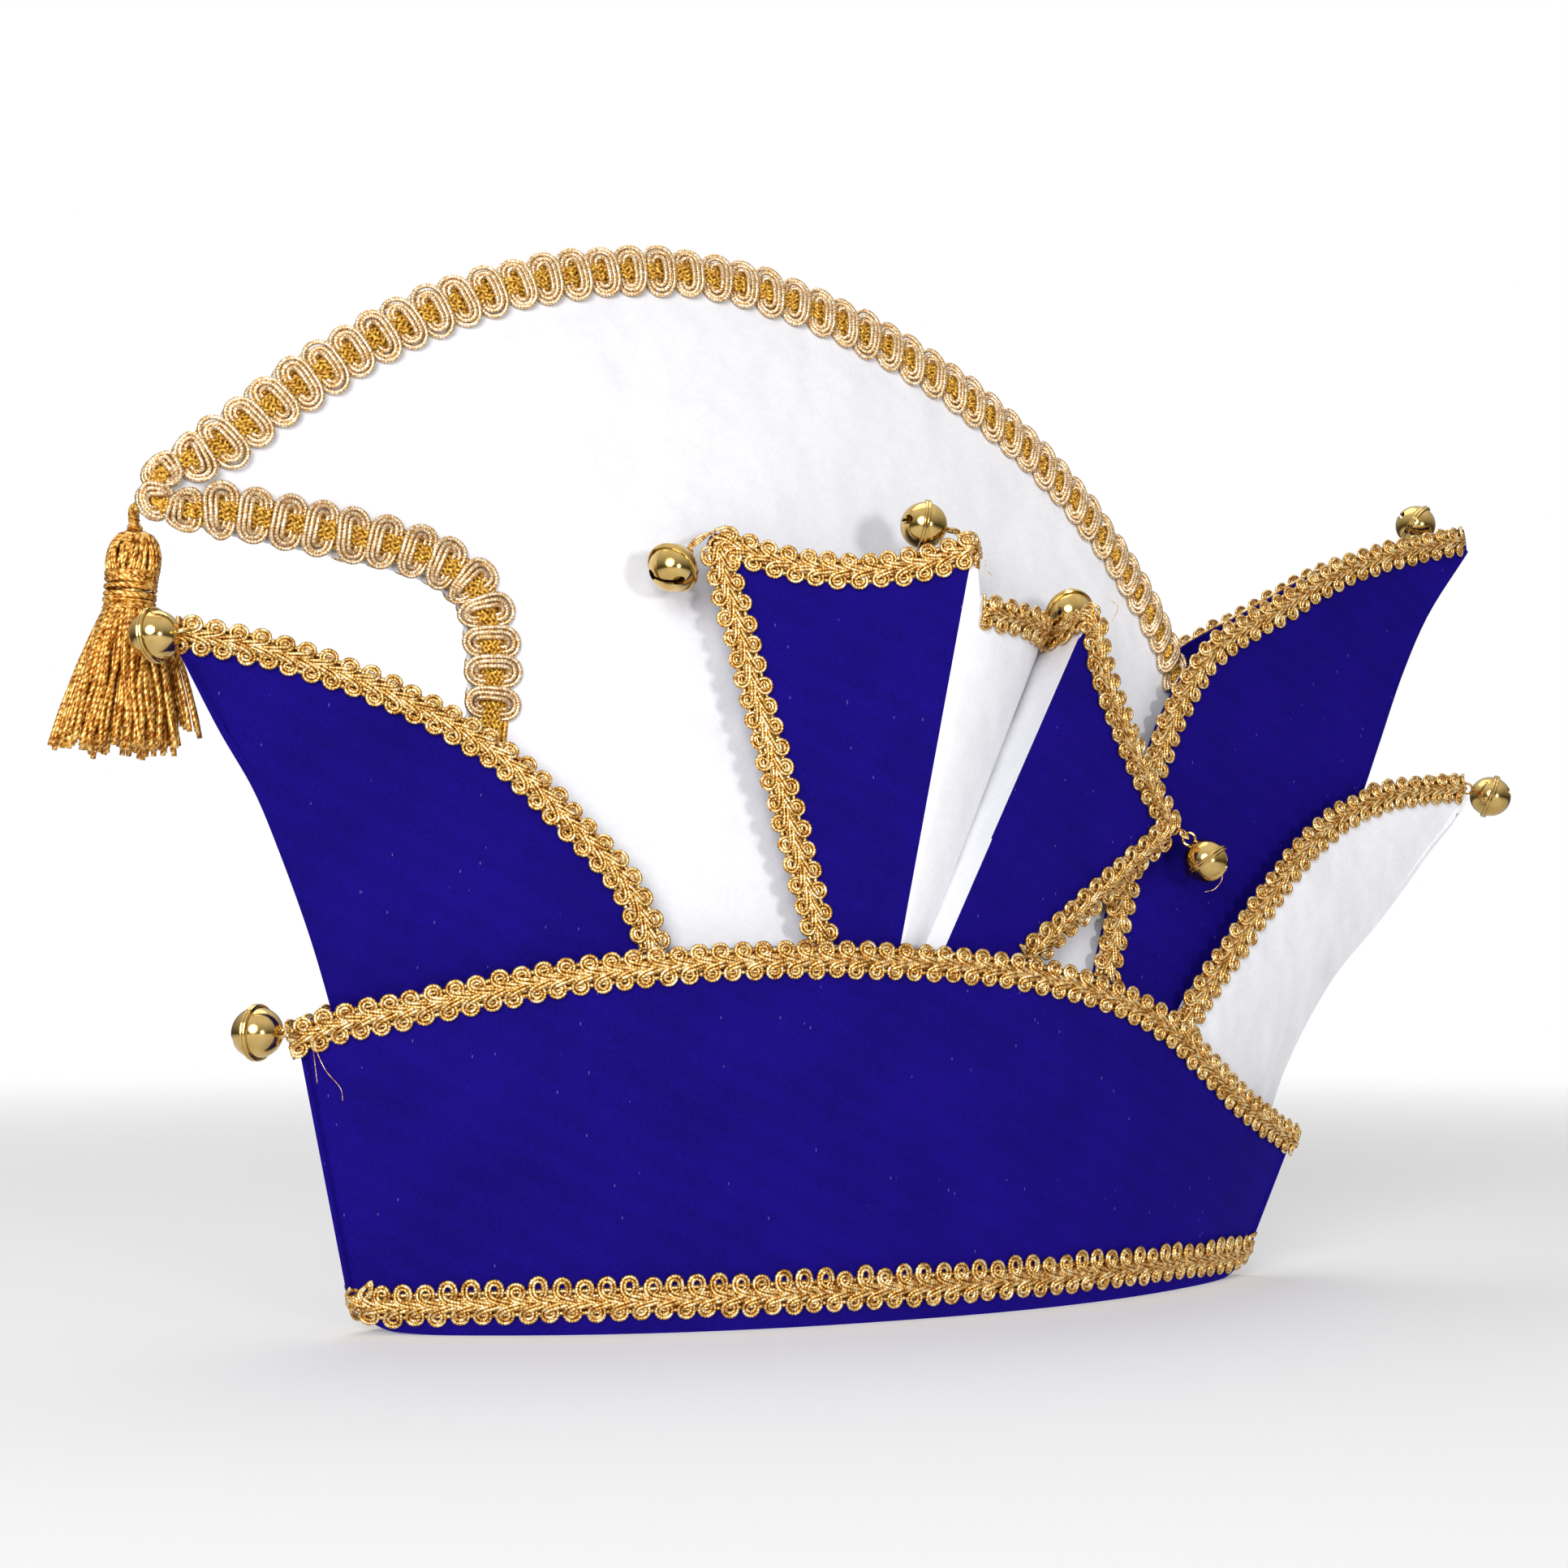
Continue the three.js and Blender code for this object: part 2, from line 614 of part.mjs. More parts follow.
// The wall of a horn. It thins towards the tip, where the two panels meet.
function hornBody(table, rows) {
  const surface = hornSurface(table);
  const facing = Math.sign(table[0].edgeX);
  const grid = [];
  for (let i = 0; i <= rows; i += 1) {
    const row = [];
    for (const across of [-1, -0.72, -0.45, -0.2, 0, 0.2, 0.45, 0.72, 1]) {
      row.push(surface(i / rows, across * facing));
    }
    grid.push(row);
  }
  const steps = grid.map((row) => {
    const middle = (row.length - 1) / 2;
    const room = row[middle + 1].x - row[middle].x;
    return row.map((point, j) => {
      const inward = THREE.MathUtils.clamp(room * HORN_EDGE_SHARE, -HORN_EDGE_WALL, HORN_EDGE_WALL);
      const sideways = Math.min(HORN_WALL, Math.abs(point.y) - HORN_LEAST_GAP);
      return j === middle ? new THREE.Vector3(inward, 0, 0) : new THREE.Vector3(0, -Math.sign(point.y) * sideways, 0);
    });
  });
  return wallFromGrid(grid, HORN_WALL, false, steps);
}

function hornBraid(table, from, count) {
  const surface = hornSurface(table);
  const stations = [];
  for (let i = 0; i <= count; i += 1) {
    const up = THREE.MathUtils.lerp(from, 0.985, i / count);
    const length = surface(up, -1).distanceTo(surface(up, -1e-6));
    const across = -Math.max(1 - (NARROW_BRAID_WIDTH / 2 - BRAID_OVERHANG) / length, 0.45);
    const step = 0.01;
    const along = surface(Math.min(up + step, 1), across).sub(surface(up - step, across));
    const over = surface(up, across - step).sub(surface(up, across + step));
    const normal = over.cross(along).normalize();
    if (normal.y > 0) {
      normal.negate();
    }
    stations.push({ point: surface(up, across), normal });
  }
  return ribbon(stations, NARROW_BRAID_WIDTH, NARROW_BRAID_THICKNESS, false);
}

// Fans

function fanPoint(panel, across, up) {
  const a = FAN_FOLDS[panel.fold];
  const b = FAN_FOLDS[panel.fold + 1];
  const foot = new THREE.Vector3(a.footX, a.footY, a.footZ).lerp(new THREE.Vector3(b.footX, b.footY, b.footZ), across);
  const top = new THREE.Vector3(a.topX, a.topY, a.topZ).lerp(new THREE.Vector3(b.topX, b.topY, b.topZ), across);
  top.z -= panel.dip * 4 * across * (1 - across);
  return foot.lerp(top, up);
}

function fanNormal(panel, across, up) {
  const step = 0.02;
  const over = fanPoint(panel, Math.min(across + step, 1), up).sub(fanPoint(panel, Math.max(across - step, 0), up));
  const rise = fanPoint(panel, across, Math.min(up + step, 1)).sub(fanPoint(panel, across, Math.max(up - step, 0)));
  return over.cross(rise).normalize();
}

// The step through the wall of a fan: at a fold it runs between the two panels that meet there.
function fanStep(panel, across, up) {
  const own = fanNormal(panel, across, up);
  const atFold = across < 1e-6 ? panel.fold - 1 : panel.fold + 1;
  const beside = FAN_PANELS[atFold];
  if ((across > 1e-6 && across < 1 - 1e-6) || !beside) {
    return own.multiplyScalar(-FAN_WALL);
  }
  const other = fanNormal(beside, 1 - across, up);
  const between = own.clone().add(other).normalize();
  const reach = FAN_WALL / Math.max(between.dot(own), FOLD_LIMIT);
  return between.multiplyScalar(-reach);
}

// One or two neighbouring panels of the near fan as one wall, kept a little away from the next ones.
function fanBody(panels) {
  const rows = 6;
  const grid = [];
  const steps = [];
  for (let i = 0; i <= rows; i += 1) {
    const up = i / rows;
    const row = [];
    const stepRow = [];
    panels.forEach((panel, number) => {
      const width = fanPoint(panel, 0, up).distanceTo(fanPoint(panel, 1, up));
      const gap = Math.min(PANEL_GAP / width, 0.12);
      for (let j = number === 0 ? 0 : 1; j <= panel.columns; j += 1) {
        const startGap = number === 0 ? gap : 0;
        const endGap = number === panels.length - 1 ? gap : 0;
        const across = j / panel.columns;
        row.push(fanPoint(panel, THREE.MathUtils.lerp(startGap, 1 - endGap, across), up));
        stepRow.push(fanStep(panel, across, up));
      }
    });
    grid.push(row);
    steps.push(stepRow);
  }
  return wallFromGrid(grid, FAN_WALL, false, steps);
}

// Braid along the top of a panel, or along one of its sides.
function fanTopBraid(panel, from, to, count) {
  const inset = NARROW_BRAID_WIDTH / 2 - BRAID_OVERHANG;
  const stations = [];
  for (let i = 0; i <= count; i += 1) {
    const across = THREE.MathUtils.lerp(from, to, i / count);
    const height = fanPoint(panel, across, 0).distanceTo(fanPoint(panel, across, 1));
    const up = 1 - inset / height;
    stations.push({ point: fanPoint(panel, across, up), normal: fanNormal(panel, across, up) });
  }
  return ribbon(stations, NARROW_BRAID_WIDTH, NARROW_BRAID_THICKNESS, false);
}

function fanSideBraid(panel, atStart, from, to, count) {
  const inset = NARROW_BRAID_WIDTH / 2 - BRAID_OVERHANG;
  const stations = [];
  for (let i = 0; i <= count; i += 1) {
    const up = THREE.MathUtils.lerp(from, to, i / count);
    const width = fanPoint(panel, 0, up).distanceTo(fanPoint(panel, 1, up));
    const across = atStart ? inset / width : 1 - inset / width;
    stations.push({ point: fanPoint(panel, across, up), normal: fanNormal(panel, across, up) });
  }
  return ribbon(stations, NARROW_BRAID_WIDTH, NARROW_BRAID_THICKNESS, false);
}

// Bells

const solidKit = await Module();
solidKit.setup();

function toSolid(geometry) {
  const plain = new THREE.BufferGeometry();
  plain.setAttribute('position', geometry.getAttribute('position'));
  plain.setIndex(geometry.getIndex());
  const merged = mergeVertices(plain, 1e-4);
  const mesh = new solidKit.Mesh({
    numProp: 3,
    vertProperties: Float32Array.from(merged.getAttribute('position').array),
    triVerts: Uint32Array.from(merged.getIndex().array),
  });
  return new solidKit.Manifold(mesh);
}

function fromSolid(solid) {
  const mesh = solid.getMesh();
  const geometry = new THREE.BufferGeometry();
  geometry.setAttribute('position', new THREE.BufferAttribute(Float32Array.from(mesh.vertProperties), 3));
  geometry.setIndex(Array.from(mesh.triVerts));
  geometry.computeVertexNormals();
  return geometry;
}

// A round bell with its rim in the plane Y = 0 and its wire loop towards +Y.
function bellBody() {
  const profile = [new THREE.Vector2(0, -BELL_RADIUS)];
  for (const degrees of [-58, -30, -6]) {
    const angle = THREE.MathUtils.degToRad(degrees);
    profile.push(new THREE.Vector2(BELL_RADIUS * Math.cos(angle), BELL_RADIUS * Math.sin(angle)));
  }
  profile.push(new THREE.Vector2(BELL_RIM_RADIUS, -BELL_RIM_HALF_THICKNESS));
  profile.push(new THREE.Vector2(BELL_RIM_RADIUS, BELL_RIM_HALF_THICKNESS));
  for (const degrees of [6, 30, 58]) {
    const angle = THREE.MathUtils.degToRad(degrees);
    profile.push(new THREE.Vector2(BELL_RADIUS * Math.cos(angle), BELL_RADIUS * Math.sin(angle)));
  }
  profile.push(new THREE.Vector2(0, BELL_RADIUS));
  const ball = new THREE.LatheGeometry(profile, 12);
  const loop = new THREE.TorusGeometry(LOOP_RADIUS, LOOP_WIRE_RADIUS, 4, 8);
  loop.translate(0, BELL_RADIUS + LOOP_RADIUS - LOOP_WIRE_RADIUS, 0);
  return fromSolid(toSolid(ball).add(toSolid(loop)));
}

const bellShape = bellBody();

function placedBell(row) {
  const to = new THREE.Vector3(row.toX, row.toY, row.toZ).normalize();
  const turn = new THREE.Quaternion().setFromUnitVectors(new THREE.Vector3(0, 1, 0), to);
  const geometry = bellShape.clone();
  geometry.applyQuaternion(turn);
  geometry.translate(row.x, row.y, row.z);
  return geometry;
}

// Tassel

function tasselBody() {
  const points = [];
  const rows = [];
  const around = TASSEL_LOCKS * 4;
  for (const section of TASSEL_SECTIONS) {
    const row = [];
    for (let j = 0; j < around; j += 1) {
      const angle = (2 * Math.PI * j) / around;
      const radius = section.radius * (1 + section.locks * Math.cos(TASSEL_LOCKS * angle));
      const x = TASSEL_TOP.x + TASSEL_LEAN * section.down + radius * Math.cos(angle);
      const y = TASSEL_TOP.y + radius * Math.sin(angle) * TASSEL_FLATNESS;
      row.push(points.push(new THREE.Vector3(x, y, TASSEL_TOP.z - section.down)) - 1);
    }
    rows.push(row);
  }
  const faces = [];
  for (let i = 0; i + 1 < rows.length; i += 1) {
    faces.push(...strip(rows[i], rows[i + 1], true));
  }
  const bottom = TASSEL_SECTIONS[TASSEL_SECTIONS.length - 1];
  const top = points.push(new THREE.Vector3(TASSEL_TOP.x, TASSEL_TOP.y, TASSEL_TOP.z)) - 1;
  const foot = new THREE.Vector3(TASSEL_TOP.x + TASSEL_LEAN * bottom.down, TASSEL_TOP.y, TASSEL_TOP.z - bottom.down);
  const under = points.push(foot) - 1;
  const first = rows[0];
  const last = rows[rows.length - 1];
  first.forEach((p, j) => faces.push([first[(j + 1) % around], p, top]));
  last.forEach((p, j) => faces.push([p, last[(j + 1) % around], under]));
  return bodyFromFaces(points, faces);
}

function cordBody() {
  const path = curveThrough(CORD_POINTS, (row) => new THREE.Vector3(row.x, row.y, row.z));
  const round = new THREE.Shape();
  round.absarc(0, 0, CORD_RADIUS, 0, 2 * Math.PI, false);
  return new THREE.ExtrudeGeometry(round, { steps: 10, curveSegments: 4, extrudePath: path });
}

// The whole cap

const cap = new THREE.Group();
cap.name = 'carnival_cap';

function addMesh(name, geometry, colour, metalness, roughness) {
  const material = new THREE.MeshStandardMaterial({ color: COLOURS[colour], metalness, roughness });
  const mesh = new THREE.Mesh(geometry, material);
  mesh.name = name;
  cap.add(mesh);
}

const addVelvet = (name, geometry) => addMesh(name, geometry, 'velvet', 0, 0.9);
const addSatin = (name, geometry) => addMesh(name, geometry, 'satin', 0, 0.45);
const addBraid = (name, geometry) => addMesh(name, geometry, 'braid', 0.6, 0.45);
const addBell = (name, geometry) => addMesh(name, geometry, 'brass', 1, 0.25);

addVelvet('band', bandBody());
addBraid('braid_hem', bandBraid((along) => HEM_BRAID_HEIGHT - HEM_BRAID_DROP_AT_ENDS * along ** 4, 26));
addBraid('braid_band', bandBraid((along) => bandTop(along) + BRAID_OVERHANG - NARROW_BRAID_WIDTH / 2, 28));

addSatin('crown', crownBody());
const underBraid = crownUnderBraid();
const archBraid = crownArchBraid();
addBraid('braid_crown_under_near', underBraid);
addBraid('braid_crown_under_far', mirrored(underBraid));
addBraid('braid_crown_arch_near', archBraid);
addBraid('braid_crown_arch_far', mirrored(archBraid));

const HORNS = [
  { name: 'tassel_end', table: HORN_TASSEL_END, add: addVelvet, rows: 10, braidFrom: 0.16 },
  { name: 'blue_far_end', table: HORN_BLUE_FAR_END, add: addVelvet, rows: 12, braidFrom: 0.13 },
  { name: 'white_far_end', table: HORN_WHITE_FAR_END, add: addSatin, rows: 10, braidFrom: 0.16 },
];
for (const horn of HORNS) {
  horn.add(`horn_${horn.name}`, hornBody(horn.table, horn.rows));
  const braid = hornBraid(horn.table, horn.braidFrom, 16);
  addBraid(`braid_horn_${horn.name}_near`, braid);
  addBraid(`braid_horn_${horn.name}_far`, mirrored(braid));
}

const FAN_PIECES = [
  { name: 'blue_tassel_side', panels: [0], add: addVelvet },
  { name: 'white', panels: [1, 2], add: addSatin },
  { name: 'blue_far_side', panels: [3], add: addVelvet },
];
for (const piece of FAN_PIECES) {
  const body = fanBody(piece.panels.map((number) => FAN_PANELS[number]));
  piece.add(`fan_${piece.name}_near`, body);
  piece.add(`fan_${piece.name}_far`, mirrored(body));
}

const FAN_BRAIDS = [
  { name: 'outer_tassel_side', make: () => fanSideBraid(FAN_PANELS[0], true, 0.12, 0.89, 10) },
  { name: 'top_tassel_side', make: () => fanTopBraid(FAN_PANELS[0], 0.0, 0.97, 8) },
  { name: 'top_white', make: () => fanTopBraid(FAN_PANELS[1], 0.14, 0.86, 6) },
  { name: 'top_far_side', make: () => fanTopBraid(FAN_PANELS[3], 0.06, 1.0, 8) },
  { name: 'outer_far_side', make: () => fanSideBraid(FAN_PANELS[3], false, 0.24, 0.85, 7) },
];
for (const row of FAN_BRAIDS) {
  const body = row.make();
  addBraid(`braid_fan_${row.name}_near`, body);
  addBraid(`braid_fan_${row.name}_far`, mirrored(body));
}

for (const row of MIDDLE_BELLS) {
  addBell(row.name, placedBell(row));
}
for (const row of FAN_BELLS) {
  addBell(`bell_fan_${row.name}_near`, placedBell(row));
  addBell(`bell_fan_${row.name}_far`, placedBell({ ...row, y: -row.y, toY: -row.toY }));
}

addMesh('tassel', tasselBody(), 'tassel', 0.4, 0.5);
addMesh('tassel_cord', cordBody(), 'tassel', 0.4, 0.5);

// The middle of the cap's box in X and Y, and its foot in Z, come to the origin.
const box = new THREE.Box3().setFromObject(cap);
const centre = box.getCenter(new THREE.Vector3());
for (const mesh of cap.children) {
  mesh.geometry.translate(-centre.x, -centre.y, -box.min.z);
}

export default cap;
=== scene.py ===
"""Carnival cap: velvet band, satin crown, horns and pleated fans with gold braid, bells and a tassel."""

import math
import random

import bpy
import numpy as np
from bpy.props import FloatProperty, FloatVectorProperty, PointerProperty
from mathutils import Matrix, Vector


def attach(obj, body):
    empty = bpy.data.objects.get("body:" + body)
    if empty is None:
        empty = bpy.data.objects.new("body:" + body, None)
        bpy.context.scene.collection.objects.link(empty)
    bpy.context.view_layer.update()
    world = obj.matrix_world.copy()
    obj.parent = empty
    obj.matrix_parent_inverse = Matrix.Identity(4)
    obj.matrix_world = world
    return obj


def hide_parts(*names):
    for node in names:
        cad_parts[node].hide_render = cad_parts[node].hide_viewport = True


bl_info = {
    "name": "Carnival Cap",
    "version": (1, 0, 0),
    "blender": (4, 5, 0),
    "location": "3D View > Sidebar > Cap",
    "description": "Dresses a stiff carnival cap in velvet, satin, gold braid, bells and a tassel",
    "category": "Object",
}

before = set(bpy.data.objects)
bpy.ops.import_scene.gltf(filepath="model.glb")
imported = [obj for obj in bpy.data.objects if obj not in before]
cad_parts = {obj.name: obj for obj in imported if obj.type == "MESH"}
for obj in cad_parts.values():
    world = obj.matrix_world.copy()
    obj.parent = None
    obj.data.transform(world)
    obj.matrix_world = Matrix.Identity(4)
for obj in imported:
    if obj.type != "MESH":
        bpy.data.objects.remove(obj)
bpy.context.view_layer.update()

MM = 0.001
# From the middle of the band's foot to the middle of the cap's box, along X
SHIFT_X = 13.2505
BODY = "root"
SEED = 7
# The finishes, each named for the real material
VELVET = "cotton_velvet_blue"
SATIN = "polyester_satin_white"
BRASS = "polished_brass"
GOLD_CORD = "foil_wound_cord"
PALE_CORD = "pale_foil_wound_cord"
CORE_YARN = "yellow_core_yarn"
TASSEL_YARN = "deep_gold_tassel_yarn"


def linear(hex_colour):
    """An sRGB hex colour as linear red, green, blue and alpha."""
    parts = [int(hex_colour[i : i + 2], 16) / 255 for i in (1, 3, 5)]
    bent = [c / 12.92 if c <= 0.04045 else ((c + 0.055) / 1.055) ** 2.4 for c in parts]
    return (*bent, 1.0)


# Sizes of the cap, in millimetres, with the middle of the band's foot at the origin. Where a size has two
# values, the first is at the tassel end and the second at the far end.

# half the length of the band's foot, how far its ends lean out for each millimetre up, its half width in the
# middle, and how much that grows for each millimetre up
BAND_HALF_LENGTH = (141, 133)
BAND_LEAN = (0.215, 0.51)
BAND_HALF_WIDTH = 36
BAND_WIDENING = 0.05
# how full the loops of the band and of the crown's foot are; 2 would be a parabola
LOOP_FULLNESS = 2.3
# the share along the band where its foot starts to lift off the ground, and how far it lifts
FOOT_LIFT_START = 0.84
FOOT_LIFT = (2.0, 1.0)
# the share along the band where its lower corners start to round off, and how far up that goes
FOOT_CORNER_START = 0.925
FOOT_CORNER_HEIGHT = 10
# half the width of the crown, how steeply its faces leave the seam, and the heights between which its
# pointed foot goes over into the rounded shape above
CROWN_HALF_WIDTH = 30
CROWN_STEEPNESS = 0.36
CROWN_BLEND = (60, 170)
# how much a horn bulges behind its free edge
HORN_FULLNESS = 1.6
# thickness of the stiffened cloth
BAND_WALL = 2.0
CROWN_WALL = 1.2
HORN_WALL = 1.4
FAN_WALL = 0.8
# faces of each cloth piece, across and up
BAND_GRID = (240, 30)
CROWN_GRID = (84, 98)
HORN_GRID = (72, 44)
FAN_GRID = (48, 44)
PLEAT_GRID = (60, 44)

# along the band from the tassel end (-1) to the far end (1), height of its upper edge
BAND_TOP = (
    (-1.0, 79),
    (-0.94, 83),
    (-0.84, 86.8),
    (-0.6, 95.3),
    (-0.34, 99.5),
    (-0.05, 99.5),
    (0.2, 95),
    (0.44, 84),
    (0.65, 66),
    (0.78, 56),
    (1.0, 44),
)
# under edge X, under edge Z, arch X, arch Z
CROWN_SECTIONS = (
    (-128, 60, 128, 60),
    (-122, 105, 124, 110),
    (-116, 145, 121, 154.6),
    (-114, 165, 115.2, 189.6),
    (-114, 175, 101.3, 215.4),
    (-114.5, 182, 75.9, 245.7),
    (-115.3, 187, 42, 271),
    (-116.5, 191, -0.9, 290.4),
    (-118.7, 194, -45, 299),
    (-123.5, 197, -89.3, 293.3),
    (-132, 200, -125.8, 279.2),
    (-147, 202.5, -154.5, 261),
    (-166, 205, -175.6, 243.4),
    (-183, 207.5, -189.5, 227.9),
    (-196, 211.5, -198, 216),
)
# edge X, edge Z, free edge X, free edge Z, free edge Y
HORN_TASSEL_END = (
    (-143, 62, -63, 74, 28),
    (-149, 84, -66, 98, 27.5),
    (-155, 103, -73.5, 117, 25),
    (-163, 124, -86, 131.5, 20.5),
    (-170, 140, -106, 151.5, 13.8),
    (-179, 155, -133, 166.5, 8.8),
    (-186, 168, -160, 176, 4.8),
    (-190.5, 176.5, -187, 182.5, 2.2),
)
HORN_BLUE_FAR_END = (
    (137, 48, 64, 68, 27),
    (146, 72, 66, 90, 26),
    (155, 92, 75, 113, 21),
    (164, 112, 83, 135.5, 17.5),
    (174, 131, 93.5, 158.5, 13.5),
    (184, 149, 103.5, 177, 11.5),
    (192.5, 168, 117.5, 194.5, 10),
    (203, 192, 144, 209.5, 7.5),
    (214.5, 213, 174.5, 226, 5),
    (232, 235.5, 229, 243.5, 2.2),
)
HORN_WHITE_FAR_END = (
    (142, 38, 95, 58, 22),
    (151.5, 62, 95.5, 79.5, 24.5),
    (171, 91, 114, 99.5, 20),
    (189, 108.5, 134, 119.5, 15.4),
    (202, 122, 151, 134.5, 11.4),
    (212, 133, 166.5, 144, 8.4),
    (222, 143, 189, 152, 5.2),
    (229, 151.5, 223, 157.5, 2.2),
)
# foot X, Y, Z and top X, Y, Z of each fold of the near fan, from the tassel side
FAN_FOLDS = (
    (-24, -35.6, 86, -56, -24, 216.5),
    (-4.6, -37, 86, 16.8, -48, 213.5),
    (0.6, -35, 86, 54, -23, 193.9),
    (5.2, -37, 86, 54.5, -46, 194),
    (28, -35.4, 86, 99.5, -22.6, 137),
)
# how far the upper edge of each panel dips between its folds
FAN_DIPS = (8.5, 0, 0.5, 5)
# how far the upper edge of the white panel lies below the ridge beside it
WHITE_PANEL_DROP = 17.5
# how far the white panel swells between its folds, and which way
WHITE_PANEL_SWELL = (3.6, -5.4, 0.0)
# width, height and corner radius of the two blue panels of a fan
TASSEL_SIDE_CORNERS = (73, 130, 9.5)
FAR_SIDE_CORNERS = (75, 85, 6)
# the share of the pleat that is its first white panel, and how much of the second one is made
PLEAT_FOLD = 0.65
PLEAT_END = 0.975
# name, centre X, Y, Z, direction to the tip X, Y, Z, turn of the slit in degrees
MIDDLE_BELLS = (
    ("bell_horn_tassel_end", -195.6, 0, 179, 0.75, -0.68, 0.1, 20),
    ("bell_band", -167.4, 0, 77.5, 0.75, -0.68, 0.0, 30),
    ("bell_horn_blue", 220.3, 11.5, 247, 0.55, -0.6, -0.6, 0),
    ("bell_horn_white", 238.6, 0, 153, -0.75, 0.55, 0.35, 60),
)
FAN_BELLS = (
    ("outer_tassel_side", -64.5, -27, 202, 0.6, 0.45, 0.66, 20),
    ("ridge_tassel_side", 4.9, -40, 217, 0.9, -0.3, -0.15, 0),
    ("ridge_far_side", 58, -29, 198, -0.1, -0.85, -0.5, 40),
    ("outer_far_side", 104, -28.5, 126.5, -0.5, 0.3, 0.8, 70),
)
# where each bell's thread is sewn on
BELL_TIPS = (
    ("bell_horn_tassel_end", (-187, -2, 180)),
    ("bell_band", (-156, -1.5, 77)),
    ("bell_horn_blue", (229, 1, 241)),
    ("bell_horn_white", (225, 0, 156)),
    ("bell_fan_outer_tassel_side", (-53, -26, 213)),
    ("bell_fan_ridge_tassel_side", (17, -48.5, 211)),
    ("bell_fan_ridge_far_side", (55.5, -45.5, 192)),
    ("bell_fan_outer_far_side", (98, -24.5, 136)),
)
# tassel from the top of its head down: distance down and radius
TASSEL_PROFILE = (
    (0, 1.6),
    (1.2, 4.2),
    (3, 5.6),
    (6, 6.5),
    (9, 6.6),
    (12, 6.1),
    (21, 6.0),
    (25, 7.6),
    (37, 11.2),
    (49, 14.2),
    (61, 16.6),
)
TASSEL_TOP = (-199.6, 17, 209.2)
TASSEL_LEAN = -0.06
TASSEL_FLATNESS = 0.72
TASSEL_CORD = (
    (-197.5, 1.6, 213.2),
    (-200.6, 8, 213.6),
    (-200.6, 14, 212.6),
    (-199.6, 17, 208.2),
)
# loose ends of the braid and the thread
LOOSE_ENDS = (
    ((-154, -4, 75), (-151, -6, 68), (-147, -6.5, 63), (-146.5, -6.5, 60)),
    ((-154, -4, 74), (-153.6, -6, 69), (-153, -6.2, 64.5)),
    ((20, -48, 207), (19, -50, 204), (21, -50, 202)),
    ((45, -33, 193), (51, -45, 190), (56, -50, 189.5), (60, -52, 196), (58, -51, 198)),
    ((100, -27, 131), (106, -34, 122), (104, -33, 118), (101, -32, 117)),
)


class CapSizes(bpy.types.PropertyGroup):
    """Sizes of the trim."""

    narrow_pitch: FloatProperty(
        name="Narrow braid pitch",
        description="Distance from one scallop of the narrow braid to the next",
        default=0.0058,
        unit="LENGTH",
    )
    narrow_cord: FloatProperty(
        name="Narrow braid cord",
        description="Radius of one cord of the narrow braid",
        default=0.0005,
        unit="LENGTH",
    )
    wide_pitch: FloatProperty(
        name="Wide braid pitch",
        description="Distance from one bundle of the wide braid to the next",
        default=0.0086,
        unit="LENGTH",
    )
    wide_cord: FloatProperty(
        name="Wide braid cord",
        description="Radius of one cord of the wide braid",
        default=0.0007,
        unit="LENGTH",
    )
    bell_radius: FloatProperty(
        name="Bell radius",
        description="Radius of the round shell of a bell",
        default=0.0066,
        unit="LENGTH",
    )
    tassel_cord: FloatProperty(
        name="Tassel cord",
        description="Radius of one hanging cord of the tassel",
        default=0.00072,
        unit="LENGTH",
    )


class CapColours(bpy.types.PropertyGroup):
    """Colours of the cap."""

    velvet: FloatVectorProperty(
        name="Velvet",
        description="Blue of the cotton velvet",
        default=linear("#14066c"),
        size=4,
        subtype="COLOR",
    )
    satin: FloatVectorProperty(
        name="Satin",
        description="White of the polyester satin",
        default=linear("#e7e7eb"),
        size=4,
        subtype="COLOR",
    )
    gold: FloatVectorProperty(
        name="Gold foil",
        description="Foil that is wound round the cords of the braid",
        default=linear("#dcab54"),
        size=4,
        subtype="COLOR",
    )
    pale_gold: FloatVectorProperty(
        name="Pale gold foil",
        description="Foil that is wound round the cords of the wide braid",
        default=linear("#dcb886"),
        size=4,
        subtype="COLOR",
    )
    gold_core: FloatVectorProperty(
        name="Braid core",
        description="Yellow yarn inside the braid",
        default=linear("#d0982e"),
        size=4,
        subtype="COLOR",
    )
    tassel: FloatVectorProperty(
        name="Tassel",
        description="Deep gold yarn of the tassel",
        default=linear("#d98f1e"),
        size=4,
        subtype="COLOR",
    )
    brass: FloatVectorProperty(
        name="Brass",
        description="Polished brass of the bells",
        default=linear("#dabb76"),
        size=4,
        subtype="COLOR",
    )
    floor: FloatVectorProperty(
        name="Floor",
        description="Pale floor under the cap",
        default=linear("#f4f4f4"),
        size=4,
        subtype="COLOR",
    )


# Curves and surfaces of the cap


